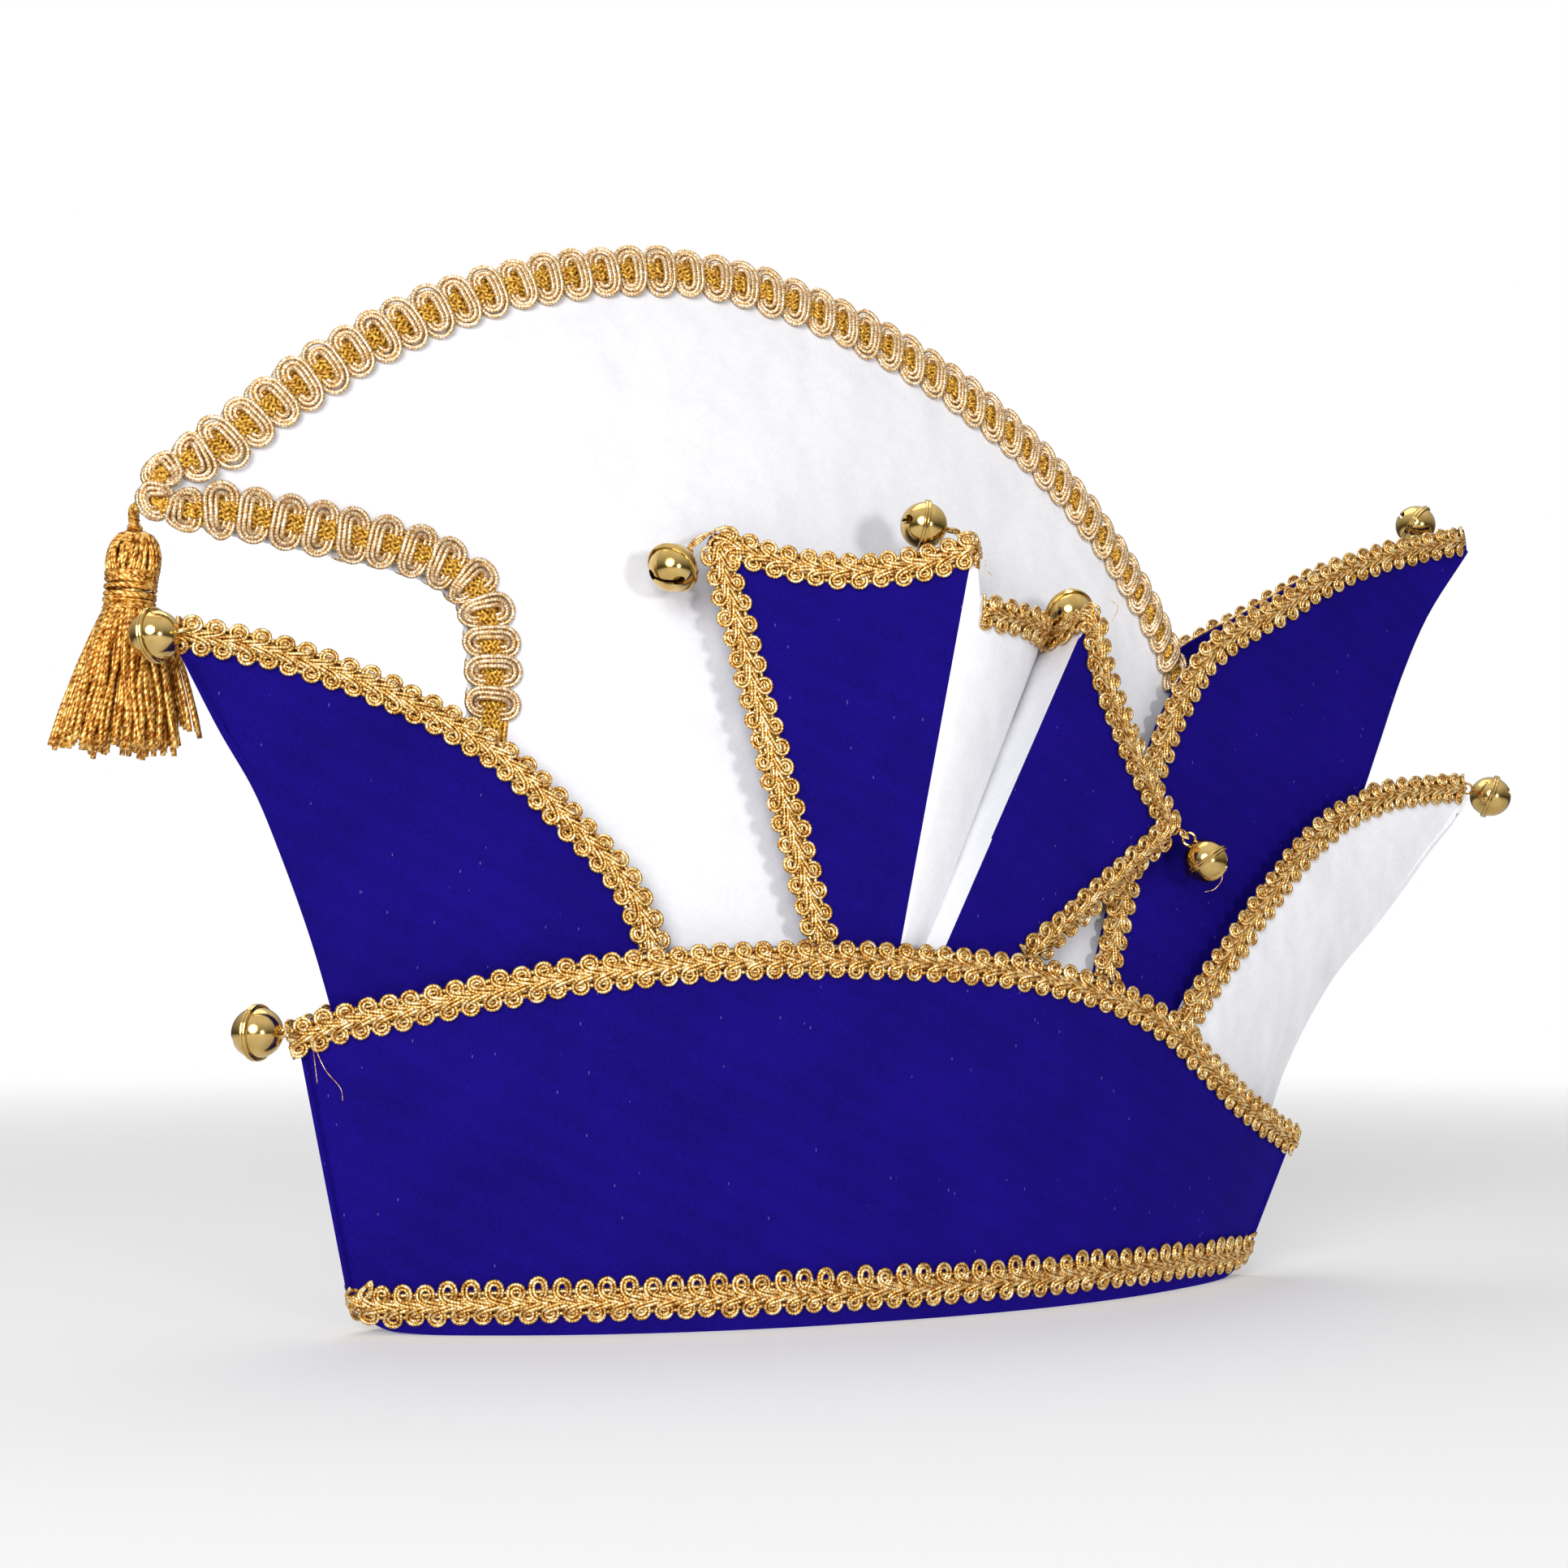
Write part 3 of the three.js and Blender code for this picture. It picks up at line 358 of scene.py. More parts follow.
def curve_through(rows):
    """A smooth curve through points, as a function of the share of the way along it."""
    points = np.asarray(rows, float)
    longer = np.vstack([2 * points[0] - points[1], points, 2 * points[-1] - points[-2]])

    def at(share):
        place = np.clip(np.asarray(share, float), 0, 1) * (len(points) - 1)
        first = np.minimum(place.astype(int), len(points) - 2)
        w = (place - first)[..., None]
        a, b, c, d = (longer[first + k] for k in range(4))
        before, here, after = (
            np.sqrt(np.linalg.norm(q - p, axis=-1))[..., None] for p, q in ((a, b), (b, c), (c, d))
        )
        start = ((b - a) / before - (c - a) / (before + here) + (c - b) / here) * here
        end = ((c - b) / here - (d - b) / (here + after) + (d - c) / after) * here
        return b + start * w + (3 * c - 3 * b - 2 * start - end) * w**2 + (2 * b - 2 * c + start + end) * w**3

    return at


def smooth_value(table, value):
    """The value of a two-column table between its rows, with no kinks at them."""
    at, column = np.asarray(table, float).T
    low = np.maximum(np.arange(len(at)) - 1, 0)
    high = np.minimum(np.arange(len(at)) + 1, len(at) - 1)
    slope = (column[high] - column[low]) / (at[high] - at[low])
    row = np.clip(np.searchsorted(at, value) - 1, 0, len(at) - 2)
    span = at[row + 1] - at[row]
    t = np.clip((value - at[row]) / span, 0, 1)
    rise = span * (t * (1 - t) ** 2 * slope[row] - t**2 * (1 - t) * slope[row + 1])
    return column[row] + (column[row + 1] - column[row]) * t**2 * (3 - 2 * t) + rise


def smooth_step(value, low, high):
    """Rises from 0 at low to 1 at high, level at both ends."""
    t = np.clip((value - low) / (high - low), 0, 1)
    return t * t * (3 - 2 * t)


def band_point(along, height, side):
    """A point of the band. along runs from -1 at the tassel end to 1, and side is -1 on the near side."""
    left = BAND_HALF_LENGTH[0] + BAND_LEAN[0] * height
    right = BAND_HALF_LENGTH[1] + BAND_LEAN[1] * height
    x = (right - left) / 2 + along * (right + left) / 2
    y = side * (BAND_HALF_WIDTH + BAND_WIDENING * height) * (1 - np.abs(along) ** LOOP_FULLNESS)
    return np.stack(np.broadcast_arrays(x, y, height), -1)


def band_foot(along):
    """How far the foot of the band is off the ground."""
    share = np.maximum(0, (np.abs(along) - FOOT_LIFT_START) / (1 - FOOT_LIFT_START))
    return np.where(along < 0, *FOOT_LIFT) * share**2


def foot_rounding(along):
    """How far the lower corners of the band are rounded off."""
    share = np.clip((np.abs(along) - FOOT_CORNER_START) / (1 - FOOT_CORNER_START), 0, 0.9999)
    return FOOT_CORNER_HEIGHT * (1 - np.sqrt(1 - share**2))


def band_surface(u, v):
    """Round the band from its tassel end along the near side, and from its foot up."""
    along = -np.cos(2 * np.pi * u)
    side = np.where(u < 0.5, -1.0, 1.0)
    height = (band_foot(along) + foot_rounding(along)) * (1 - v) + smooth_value(BAND_TOP, along) * v
    return band_point(along, height, side)


crown_under = curve_through([(row[0], 0, row[1]) for row in CROWN_SECTIONS])
crown_arch = curve_through([(row[2], 0, row[3]) for row in CROWN_SECTIONS])
SEAM_SHARES = np.linspace(0, 1, 57)
CROWN_SEAM = np.vstack([crown_under(SEAM_SHARES), crown_arch(SEAM_SHARES[::-1])])


def distance_to_seam(points):
    """A mean distance from points in the middle plane to the whole seam of the crown."""
    start = CROWN_SEAM[:-1]
    along = CROWN_SEAM[1:] - start
    length = np.linalg.norm(along, axis=1)
    keep = length > 1e-6
    start, along, length = start[keep], along[keep] / length[keep, None], length[keep]
    flat = points.reshape(-1, 3)
    to_start = start[None] - flat[:, None]
    first = (to_start * along[None]).sum(-1)
    height = np.maximum(np.sqrt(np.maximum((to_start**2).sum(-1) - first**2, 0)), 1e-3)
    total = ((np.arctan((first + length) / height) - np.arctan(first / height)) / height).sum(1)
    return (np.pi / total).reshape(points.shape[:-1])


def crown_point(section, across, side):
    """A point of the crown from its share of the way up, the share across and the side."""
    under = crown_under(section)
    point = under + (crown_arch(section) - under) * np.asarray(across)[..., None]
    at_foot = CROWN_HALF_WIDTH * (1 - np.abs(2 * across - 1) ** LOOP_FULLNESS)
    rise = distance_to_seam(point) * CROWN_STEEPNESS / CROWN_HALF_WIDTH
    above = CROWN_HALF_WIDTH * (1 - np.exp(-rise))
    blend = smooth_step(point[..., 2], *CROWN_BLEND)
    width = at_foot + (above - at_foot) * blend
    at_seam = (across < 1e-6) | (across > 1 - 1e-6)
    point[..., 1] = np.where(at_seam, 0, side * width)
    return point


def crown_surface(u, v):
    """Across the near side from the under edge to the arch, back on the far side, and from the foot up."""
    across = (1 - np.cos(2 * np.pi * u)) / 2
    side = np.where(u < 0.5, -1.0, 1.0)
    point = crown_point(v, across, side)
    tip = (crown_under(np.ones(1)) + crown_arch(np.ones(1))) / 2
    close = smooth_step(v, 0.985, 1.0)[..., None]
    return point + (tip - point) * close


def horn_surface(table):
    """A horn as a function of the share up and the share across, from -1 to 1 round its outer edge."""
    rows = np.asarray(table, float)
    edge = curve_through(np.stack([rows[:, 0], 0 * rows[:, 0], rows[:, 1]], 1))
    free = curve_through(rows[:, [2, 4, 3]])

    def at(up, across):
        start = edge(up)
        end = free(up)
        share = np.abs(across)[..., None]
        point = start + (end - start) * share
        point[..., 1] = np.sign(across) * end[..., 1] * (1 - (1 - share[..., 0]) ** HORN_FULLNESS)
        return point

    return at


def fan_point(panel, across, up):
    """A point of one panel of the near fan."""
    a, b = (np.asarray(FAN_FOLDS[panel + k], float) for k in (0, 1))
    share = np.asarray(across)[..., None]
    foot = a[:3] + (b[:3] - a[:3]) * share
    top = a[3:] + (b[3:] - a[3:]) * share
    top[..., 2] -= FAN_DIPS[panel] * 4 * across * (1 - across)
    if panel == 1:
        top[..., 2] -= WHITE_PANEL_DROP * (1 - across) * smooth_step(across, 0.0, 0.03)
    point = foot + (top - foot) * np.asarray(up)[..., None]
    if panel == 1:
        point = point + np.asarray(WHITE_PANEL_SWELL) * (4 * across * (1 - across) * up)[..., None]
    return point


def fan_panel(panel):
    """One panel of the near fan as a function of the shares across and up."""

    def at(across, up):
        return fan_point(panel, across, up)

    return at


def rounded_corners(surface, width, height, radius):
    """A panel with its upper corners rounded off. Sizes in millimetres."""

    def at(u, v):
        side = np.minimum(u, 1 - u) * width
        down = (1 - v) * height
        reach = np.hypot(radius - side, radius - down)
        corner = (side < radius) & (down < radius) & (reach > radius)
        pull = np.where(corner, radius / np.maximum(reach, 1e-6), 1.0)
        side = np.where(corner, radius - (radius - side) * pull, side)
        down = np.where(corner, radius - (radius - down) * pull, down)
        across = np.where(u < 0.5, side / width, 1 - side / width)
        return surface(across, 1 - down / height)

    return at


def unit(vectors):
    return vectors / np.maximum(np.linalg.norm(vectors, axis=-1, keepdims=True), 1e-9)


def surface_normal(surface, u, v, step=0.004):
    """The direction out of a surface whose two places turn right-handed about it."""
    across = surface(np.minimum(u + step, 1), v) - surface(np.maximum(u - step, 0), v)
    up = surface(u, np.minimum(v + step, 1)) - surface(u, np.maximum(v - step, 0))
    return unit(np.cross(across, up))


def placed(points):
    """Points of the cap in millimetres as metres in the frame."""
    return (np.asarray(points, float) - (SHIFT_X, 0, 0)) * MM


def mirrored(points):
    return np.asarray(points) * (1, -1, 1)


# Meshes


def deselect_all():
    if bpy.context.object and bpy.context.object.mode != "OBJECT":
        bpy.ops.object.mode_set(mode="OBJECT")
    bpy.ops.object.select_all(action="DESELECT")


def finished(obj, name, material, nodes):
    """Names a piece, gives it its material, and lets it stand for CAD nodes."""
    obj.name = name
    obj.data.name = name
    obj.data.materials.clear()
    obj.data.materials.append(material)
    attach(obj, BODY)
    if nodes:
        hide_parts(*nodes)
    return obj


def apply_modifier(obj, kind, **settings):
    bpy.context.view_layer.objects.active = obj
    modifier = obj.modifiers.new(kind.lower(), kind)
    for name, value in settings.items():
        setattr(modifier, name, value)
    bpy.ops.object.modifier_apply(modifier=modifier.name)


def sheet_from_grid(surface, grid, wall_mm, welded=False, even=True):
    """A grid bent on to a surface, welded where it closes, with its wall on the inside, and its area."""
    deselect_all()
    columns, rows = grid
    bpy.ops.mesh.primitive_grid_add(x_subdivisions=columns, y_subdivisions=rows, size=1.0)
    obj = bpy.context.object
    mesh = obj.data
    flat = np.zeros(len(mesh.vertices) * 3)
    mesh.vertices.foreach_get("co", flat)
    places = flat.reshape(-1, 3) + 0.5
    u = np.round(np.clip(places[:, 0], 0, 1), 6)
    v = np.round(np.clip(places[:, 1], 0, 1), 6)
    points = placed(surface(u, v))
    mesh.vertices.foreach_set("co", points.ravel())
    mesh.update()
    area = sum(face.area for face in mesh.polygons)
    if welded:
        bpy.ops.object.mode_set(mode="EDIT")
        bpy.ops.mesh.select_all(action="SELECT")
        bpy.ops.mesh.remove_doubles(threshold=2e-6)
        bpy.ops.object.mode_set(mode="OBJECT")
    bpy.ops.object.shade_smooth()
    apply_modifier(obj, "SOLIDIFY", thickness=wall_mm * MM, offset=-1.0, use_rim=True, use_even_offset=even)
    bpy.ops.object.shade_smooth_by_angle(angle=math.radians(50))
    return obj, area


class Tubes:
    """Round cords gathered into one mesh, with the distance along and the place round each as its UV."""

    def __init__(self):
        self.points, self.faces, self.uvs, self.caps = [], [], [], []
        self.count = 0

    def add(self, line, radius, reference, sides=5):
        """One cord along a line of points in metres. reference is any direction that isn't along it."""
        line = np.asarray(line, float)
        count = len(line)
        along = unit(np.gradient(line, axis=0))
        side = unit(np.cross(along, np.broadcast_to(reference, line.shape)))
        out = np.cross(side, along)
        angles = 2 * np.pi * np.arange(sides) / sides
        radii = np.broadcast_to(radius, (count,))[:, None, None]
        ring = np.cos(angles)[None, :, None] * side[:, None] + np.sin(angles)[None, :, None] * out[:, None]
        self.points.append((line[:, None] + ring * radii).reshape(-1, 3))
        row = np.arange(count - 1)[:, None] * sides
        this = np.arange(sides)[None]
        following = (this + 1) % sides
        quads = np.stack([row + this, row + following, row + sides + following, row + sides + this], -1)
        self.faces.append(quads.reshape(-1, 4) + self.count)
        length = np.concatenate([[0], np.cumsum(np.linalg.norm(np.diff(line, axis=0), axis=1))])
        low = np.broadcast_to(length[:-1, None], (count - 1, sides))
        high = np.broadcast_to(length[1:, None], (count - 1, sides))
        start = np.broadcast_to(this / sides, (count - 1, sides))
        end = start + 1 / sides
        uvs = np.stack([low, start, low, end, high, end, high, start], -1)
        self.uvs.append(uvs.reshape(-1, 2))
        self.caps.append((np.arange(sides)[::-1] + self.count, low[0, 0]))
        self.caps.append((np.arange(sides) + self.count + (count - 1) * sides, high[-1, 0]))
        self.count += count * sides

    def piece(self, name, material, slot, nodes):
        """The mesh of all the cords as one piece."""
        quads = np.concatenate(self.faces)
        caps = [c for c, _ in self.caps]
        loops = np.concatenate([quads.ravel(), *caps])
        sizes = np.concatenate([np.full(len(quads), 4), [len(c) for c in caps]])
        uvs = np.concatenate(self.uvs + [np.tile((d, 0.5), (len(c), 1)) for c, d in self.caps])
        mesh = bpy.data.meshes.new(name)
        points = np.concatenate(self.points)
        mesh.vertices.add(len(points))
        mesh.vertices.foreach_set("co", points.ravel())
        mesh.loops.add(len(loops))
        mesh.loops.foreach_set("vertex_index", loops.astype(np.int32))
        mesh.polygons.add(len(sizes))
        starts = np.concatenate([[0], np.cumsum(sizes)[:-1]])
        mesh.polygons.foreach_set("loop_start", starts.astype(np.int32))
        mesh.update(calc_edges=True)
        mesh.uv_layers.new(name="UVMap").data.foreach_set("uv", uvs.ravel())
        mesh.shade_smooth()
        mesh.validate()
        obj = bpy.data.objects.new(name, mesh)
        bpy.context.scene.collection.objects.link(obj)
        return finished(obj, name, material, nodes)


# Materials

# Mix has sockets for each type of data; these are the numbers of those for colours
MIX_FROM = 6
MIX_TO = 7
MIXED = 2
# Scale of a wave texture with one band for each unit of length
ONE_BAND = 2 * math.pi / 20


def connect(tree, made, inputs):
    """Sets a node's inputs, each to a value or to a pair of a node and its output."""
    for name, value in inputs.items():
        if isinstance(value, tuple) and isinstance(value[0], bpy.types.Node):
            tree.links.new(value[0].outputs[value[1]], made.inputs[name])
        else:
            made.inputs[name].default_value = value


def node(tree, kind, inputs=None, **settings):
    """Adds a node with its settings and its links."""
    made = tree.nodes.new(kind)
    for name, value in settings.items():
        setattr(made, name, value)
    connect(tree, made, inputs or {})
    return made


def new_material(name, **constants):
    """A material with one shader whose even values are set on its own sockets."""
    material = bpy.data.materials.new(name)
    material.use_nodes = True
    tree = material.node_tree
    shader = tree.nodes["Principled BSDF"]
    for socket, value in constants.items():
        shader.inputs[socket.replace("_", " ")].default_value = value
    return material, tree, shader


def per_metre(size_mm):
    """The scale of a pattern whose parts are this many millimetres wide."""
    return 1000.0 / size_mm


def cotton_velvet(name, colours):
    """Cotton velvet: a dense short pile, matt from the front, light at grazing angles, with a little lint."""
    material, tree, shader = new_material(
        name,
        Roughness=0.85,
        Sheen_Weight=0.3,
        Sheen_Roughness=0.35,
        Sheen_Tint=linear("#3a22ff"),
        Specular_IOR_Level=0.06,
    )
    place = node(tree, "ShaderNodeTexCoord")
    # Strokes in the pile, about 30 mm across
    strokes = node(
        tree,
        "ShaderNodeTexNoise",
        {"Vector": (place, "Object"), "Scale": per_metre(30), "Detail": 3.0, "Roughness": 0.55},
    )
    # Tufts of the pile; the real ones are finer, and these are as fine as the picture can show
    tufts = node(
        tree, "ShaderNodeTexNoise", {"Vector": (place, "Object"), "Scale": per_metre(0.9), "Detail": 2.0}
    )
    # Faint rows where the pile leans one way and the other, about 8 mm apart
    turned = node(
        tree, "ShaderNodeMapping", {"Vector": (place, "Object"), "Rotation": (0.0, math.radians(62), 0.0)}
    )
    leaning = node(
        tree,
        "ShaderNodeTexWave",
        {"Vector": (turned, "Vector"), "Scale": per_metre(8.17) * ONE_BAND, "Distortion": 0.6, "Detail": 1.0},
        bands_direction="X",
    )
    rows = node(
        tree, "ShaderNodeMath", {0: (leaning, "Fac"), 1: 0.11, 2: (tufts, "Fac")}, operation="MULTIPLY_ADD"
    )
    both = node(tree, "ShaderNodeMath", {0: (strokes, "Fac"), 1: (rows, "Value")}, operation="ADD")
    depth = node(
        tree,
        "ShaderNodeMapRange",
        {"Value": (both, "Value"), "From Min": 0.7, "From Max": 1.3, "To Min": 0.0, "To Max": 1.0},
    )
    base = colours.velvet
    dark = (base[0] * 0.72, base[1] * 0.8, base[2] * 0.78, 1.0)
    light = (base[0] * 1.25, base[1] * 1.3, base[2] * 1.22, 1.0)
    pile = node(
        tree,
        "ShaderNodeMix",
        {"Factor": (depth, "Result"), MIX_FROM: dark, MIX_TO: light},
        data_type="RGBA",
    )
    # Lint: pale hairs about a quarter of a millimetre thick and 1 mm long, lying two ways, some 15 mm apart
    hairs = []
    for angle in (35, -55):
        lying = node(
            tree,
            "ShaderNodeMapping",
            {
                "Vector": (place, "Object"),
                "Rotation": (0.0, math.radians(angle), 0.0),
                "Scale": (1.0, 1.0, 0.28),
            },
        )
        lint = node(tree, "ShaderNodeTexVoronoi", {"Vector": (lying, "Vector"), "Scale": per_metre(3.0)})
        hairs.append(node(tree, "ShaderNodeMath", {0: (lint, "Distance"), 1: 0.042}, operation="LESS_THAN"))
    both_ways = node(
        tree, "ShaderNodeMath", {0: (hairs[0], "Value"), 1: (hairs[1], "Value")}, operation="MAXIMUM"
    )
    few = node(tree, "ShaderNodeMath", {0: (strokes, "Fac"), 1: 0.47}, operation="GREATER_THAN")
    some = node(tree, "ShaderNodeMath", {0: (both_ways, "Value"), 1: (few, "Value")}, operation="MULTIPLY")
    faint = node(tree, "ShaderNodeMath", {0: (some, "Value"), 1: 0.2}, operation="MULTIPLY")
    surface = node(
        tree,
        "ShaderNodeMix",
        {"Factor": (faint, "Value"), MIX_FROM: (pile, MIXED), MIX_TO: linear("#b9b4ea")},
        data_type="RGBA",
    )
    bump = node(
        tree, "ShaderNodeBump", {"Height": (tufts, "Fac"), "Strength": 0.35, "Distance": 0.0004}
    )
    connect(tree, shader, {"Base Color": (surface, MIXED), "Normal": (bump, "Normal")})
    return material


def polyester_satin(name, colours):
    """Polyester satin: long floating threads that give a soft sheen, with slight puckers where it is sewn."""
    material, tree, shader = new_material(
        name,
        Roughness=0.42,
        Sheen_Weight=0.15,
        Sheen_Roughness=0.4,
        Specular_IOR_Level=0.4,
    )
    place = node(tree, "ShaderNodeTexCoord")
    # Threads; the real ones are 0.15 mm apart, and these are drawn 1.6 mm apart so that they show
    turned = node(
        tree, "ShaderNodeMapping", {"Vector": (place, "Object"), "Rotation": (0.0, math.radians(35), 0.0)}
    )
    threads = node(
        tree,
        "ShaderNodeTexWave",
        {
            "Vector": (turned, "Vector"),
            "Scale": per_metre(1.579) * ONE_BAND,
            "Distortion": 1.5,
            "Detail": 2.0,
        },
        bands_direction="X",
    )
    # Thick places in the threads, 1.6 mm wide, and puckers from the sewing, 26 mm wide
    slubs = node(
        tree, "ShaderNodeTexNoise", {"Vector": (turned, "Vector"), "Scale": per_metre(1.6), "Detail": 3.0}
    )
    puckers = node(
        tree, "ShaderNodeTexNoise", {"Vector": (place, "Object"), "Scale": per_metre(26), "Detail": 2.0}
    )
    shade = node(
        tree,
        "ShaderNodeMapRange",
        {"Value": (slubs, "Fac"), "From Min": 0.3, "From Max": 0.7, "To Min": 0.0, "To Max": 1.0},
    )
    base = colours.satin
    low = (base[0] * 0.95, base[1] * 0.95, base[2] * 0.955, 1.0)
    cloth = node(
        tree,
        "ShaderNodeMix",
        {"Factor": (shade, "Result"), MIX_FROM: low, MIX_TO: tuple(base)},
        data_type="RGBA",
    )
    wide = node(
        tree, "ShaderNodeBump", {"Height": (puckers, "Fac"), "Strength": 0.5, "Distance": 0.006}
    )
    fine = node(
        tree,
        "ShaderNodeBump",
        {"Height": (threads, "Fac"), "Strength": 0.035, "Distance": 0.0003, "Normal": (wide, "Normal")},
    )
    connect(tree, shader, {"Base Color": (cloth, MIXED), "Normal": (fine, "Normal")})
    return material


# colour, its painted highlight and its painted shade, millimetres to a turn, plies, millimetres from one
# painted glint to the next, the plies' share of the painted shading, metallic, roughness
CORDS = {
    # Foil wound flat round a cotton cord: small painted glints between turns painted darker
    GOLD_CORD: ("gold", "#fbebbe", "#966026", 0.8, 1, 1.3, 0.075, 0.75, 0.3),
    # A paler, finer foil: closer and softer painted glints
    PALE_CORD: ("pale_gold", "#f9f0dc", "#b48448", 0.8, 1, 0.7, 0.075, 0.7, 0.32),
    # Rayon yarn: a soft yellow with little shine, and painted glints and painted shade on its turns
    CORE_YARN: ("gold_core", "#f6cf5c", "#8a5a0c", 1.1, 1, 0.8, 0.075, 0.35, 0.4),
    # Rayon and foil twisted together: deep gold with long painted bright streaks
    TASSEL_YARN: ("tassel", "#ffe08a", "#7c3e06", 1.6, 3, 1.2, 0.09, 0.4, 0.28),
}
# strength of the plies' relief for each unit of their share of the painted shading
PLY_RELIEF = 2.4


def twisted_cord(name, colours):
    """A wound cord: slanting plies with a painted glint on one side and painted shade on the other, over the
    cord's own colour.
    """
    colour, light, painted_shade_colour, turn_mm, plies, painted_glint_mm, ply_share, metallic, roughness = CORDS[name]
    # light is the painted highlight and the column after it the painted shade; colour is the cord's own
    # colour
    material, tree, shader = new_material(name, Metallic=metallic, Roughness=roughness)
    place = node(tree, "ShaderNodeTexCoord")
    split = node(tree, "ShaderNodeSeparateXYZ", {"Vector": (place, "UV")})
    turns = node(tree, "ShaderNodeMath", {0: (split, "X"), 1: per_metre(turn_mm)}, operation="MULTIPLY")
    slant = node(
        tree, "ShaderNodeMath", {0: (split, "Y"), 1: plies, 2: (turns, "Value")}, operation="MULTIPLY_ADD"
    )
    wave = node(tree, "ShaderNodeMath", {0: (slant, "Value"), 1: 2 * math.pi}, operation="MULTIPLY")
    ply = node(tree, "ShaderNodeMath", {0: (wave, "Value")}, operation="SINE")
    # Painted glints: noise picks the turns of foil that are painted lighter or darker, as if they lay more or
    # less towards the light
    lengths = node(
        tree, "ShaderNodeTexNoise", {"Vector": (place, "Object"), "Scale": per_metre(painted_glint_mm), "Detail": 2.0}
    )
    painted_glint_mix = node(
        tree,
        "ShaderNodeMath",
        {0: (ply, "Value"), 1: ply_share, 2: (lengths, "Fac")},
        operation="MULTIPLY_ADD",
    )
    share = node(
        tree,
        "ShaderNodeMapRange",
        {"Value": (painted_glint_mix, "Value"), "From Min": 0.33, "From Max": 0.67, "To Min": 0.0, "To Max": 1.0},
    )
    # Painted light: the ramp runs from the painted shade through the cord's own colour to the painted
    # highlight
    painted_light_ramp = node(tree, "ShaderNodeValToRGB", {"Fac": (share, "Result")})
    stops = painted_light_ramp.color_ramp.elements
    stops[0].position = 0.0
    stops[0].color = linear(painted_shade_colour)
    stops[1].position = 1.0
    stops[1].color = linear(light)
    stops.new(0.5).color = tuple(getattr(colours, colour))
    bump = node(
        tree,
        "ShaderNodeBump",
        {"Height": (ply, "Value"), "Strength": PLY_RELIEF * ply_share, "Distance": 0.00012},
    )
    connect(tree, shader, {"Base Color": (painted_light_ramp, "Color"), "Normal": (bump, "Normal")})
    return material


def polished_brass(name, colours):
    """Polished brass: pressed sheet, buffed bright, with a duller tarnish in places."""
    material, tree, shader = new_material(name, Metallic=1.0)
    place = node(tree, "ShaderNodeTexCoord")
    # Clouds of tarnish, about 5 mm across
    tarnish = node(
        tree, "ShaderNodeTexNoise", {"Vector": (place, "Object"), "Scale": per_metre(5), "Detail": 4.0}
    )
    base = colours.brass
    dull = (base[0] * 0.8, base[1] * 0.74, base[2] * 0.62, 1.0)
    share = node(
        tree,
        "ShaderNodeMapRange",
        {"Value": (tarnish, "Fac"), "From Min": 0.35, "From Max": 0.65, "To Min": 0.0, "To Max": 1.0},
    )
    metal = node(
        tree,
        "ShaderNodeMix",
        {"Factor": (share, "Result"), MIX_FROM: dull, MIX_TO: tuple(base)},
        data_type="RGBA",
    )
    gloss = node(
        tree, "ShaderNodeMapRange", {"Value": (tarnish, "Fac"), "To Min": 0.2, "To Max": 0.09}
    )
    connect(tree, shader, {"Base Color": (metal, MIXED), "Roughness": (gloss, "Result")})
    return material


MAKERS = {VELVET: cotton_velvet, SATIN: polyester_satin, BRASS: polished_brass}


def material_named(context, name):
    """One of the cap's materials, made once and used again."""
    maker = MAKERS.get(name, twisted_cord)
    return bpy.data.materials.get(name) or maker(name, context.scene.cap_colours)


# Braid


class Path:
    """The middle line of a braid with the direction out of the cloth and towards one edge at each place."""

    def __init__(self, points, normals, widths=None, flip=False, rounding=1.2, step=0.4):
        points = np.asarray(points, float)
        normals = np.asarray(normals, float)
        steps = np.linalg.norm(np.diff(points, axis=0), axis=1)
        keep = np.concatenate([[True], steps > 1e-4])
        points, normals = points[keep], normals[keep]
        widths = None if widths is None else np.asarray(widths, float)[keep]
        length = np.concatenate([[0], np.cumsum(np.linalg.norm(np.diff(points, axis=0), axis=1))])
        self.places = np.arange(0, length[-1], step)

        def even(values):
            return np.stack([np.interp(self.places, length, values[:, k]) for k in range(3)], 1)

        self.middle = self.rounded(even(points), rounding / step)
        self.out = unit(self.rounded(even(normals), rounding / step))
        along = unit(np.gradient(self.middle, axis=0))
        side = unit(np.cross(self.out, along))
        self.side = -side if flip else side
        self.out = unit(np.cross(along, side))
        self.width = np.ones(len(self.places)) if widths is None else np.interp(self.places, length, widths)
        self.length = self.places[-1]

    @staticmethod
    def rounded(values, spread):
        """Values smoothed along the path, with both ends kept."""
        reach = int(3 * spread) + 1
        weights = np.exp(-0.5 * (np.arange(-reach, reach + 1) / max(spread, 1e-3)) ** 2)
        weights /= weights.sum()
        first = 2 * values[:1] - values[1 : reach + 1][::-1]
        last = 2 * values[-1:] - values[-reach - 1 : -1][::-1]
        longer = np.vstack([first, values, last])
        return np.stack([np.convolve(longer[:, k], weights, "valid") for k in range(3)], 1)

    def at(self, along, across, height):
        """Points in metres and the directions out of the cloth there.

        along is the distance along the path, across that towards its edge, height that off the cloth."""
        along = np.clip(along, 0, self.length)

        def pick(values):
            return np.stack([np.interp(along, self.places, values[:, k]) for k in range(3)], 1)

        wide = np.interp(along, self.places, self.width)
        out = pick(self.out)
        sideways = pick(self.side) * (across * wide)[:, None]
        return placed(pick(self.middle) + sideways + out * height[:, None]), out


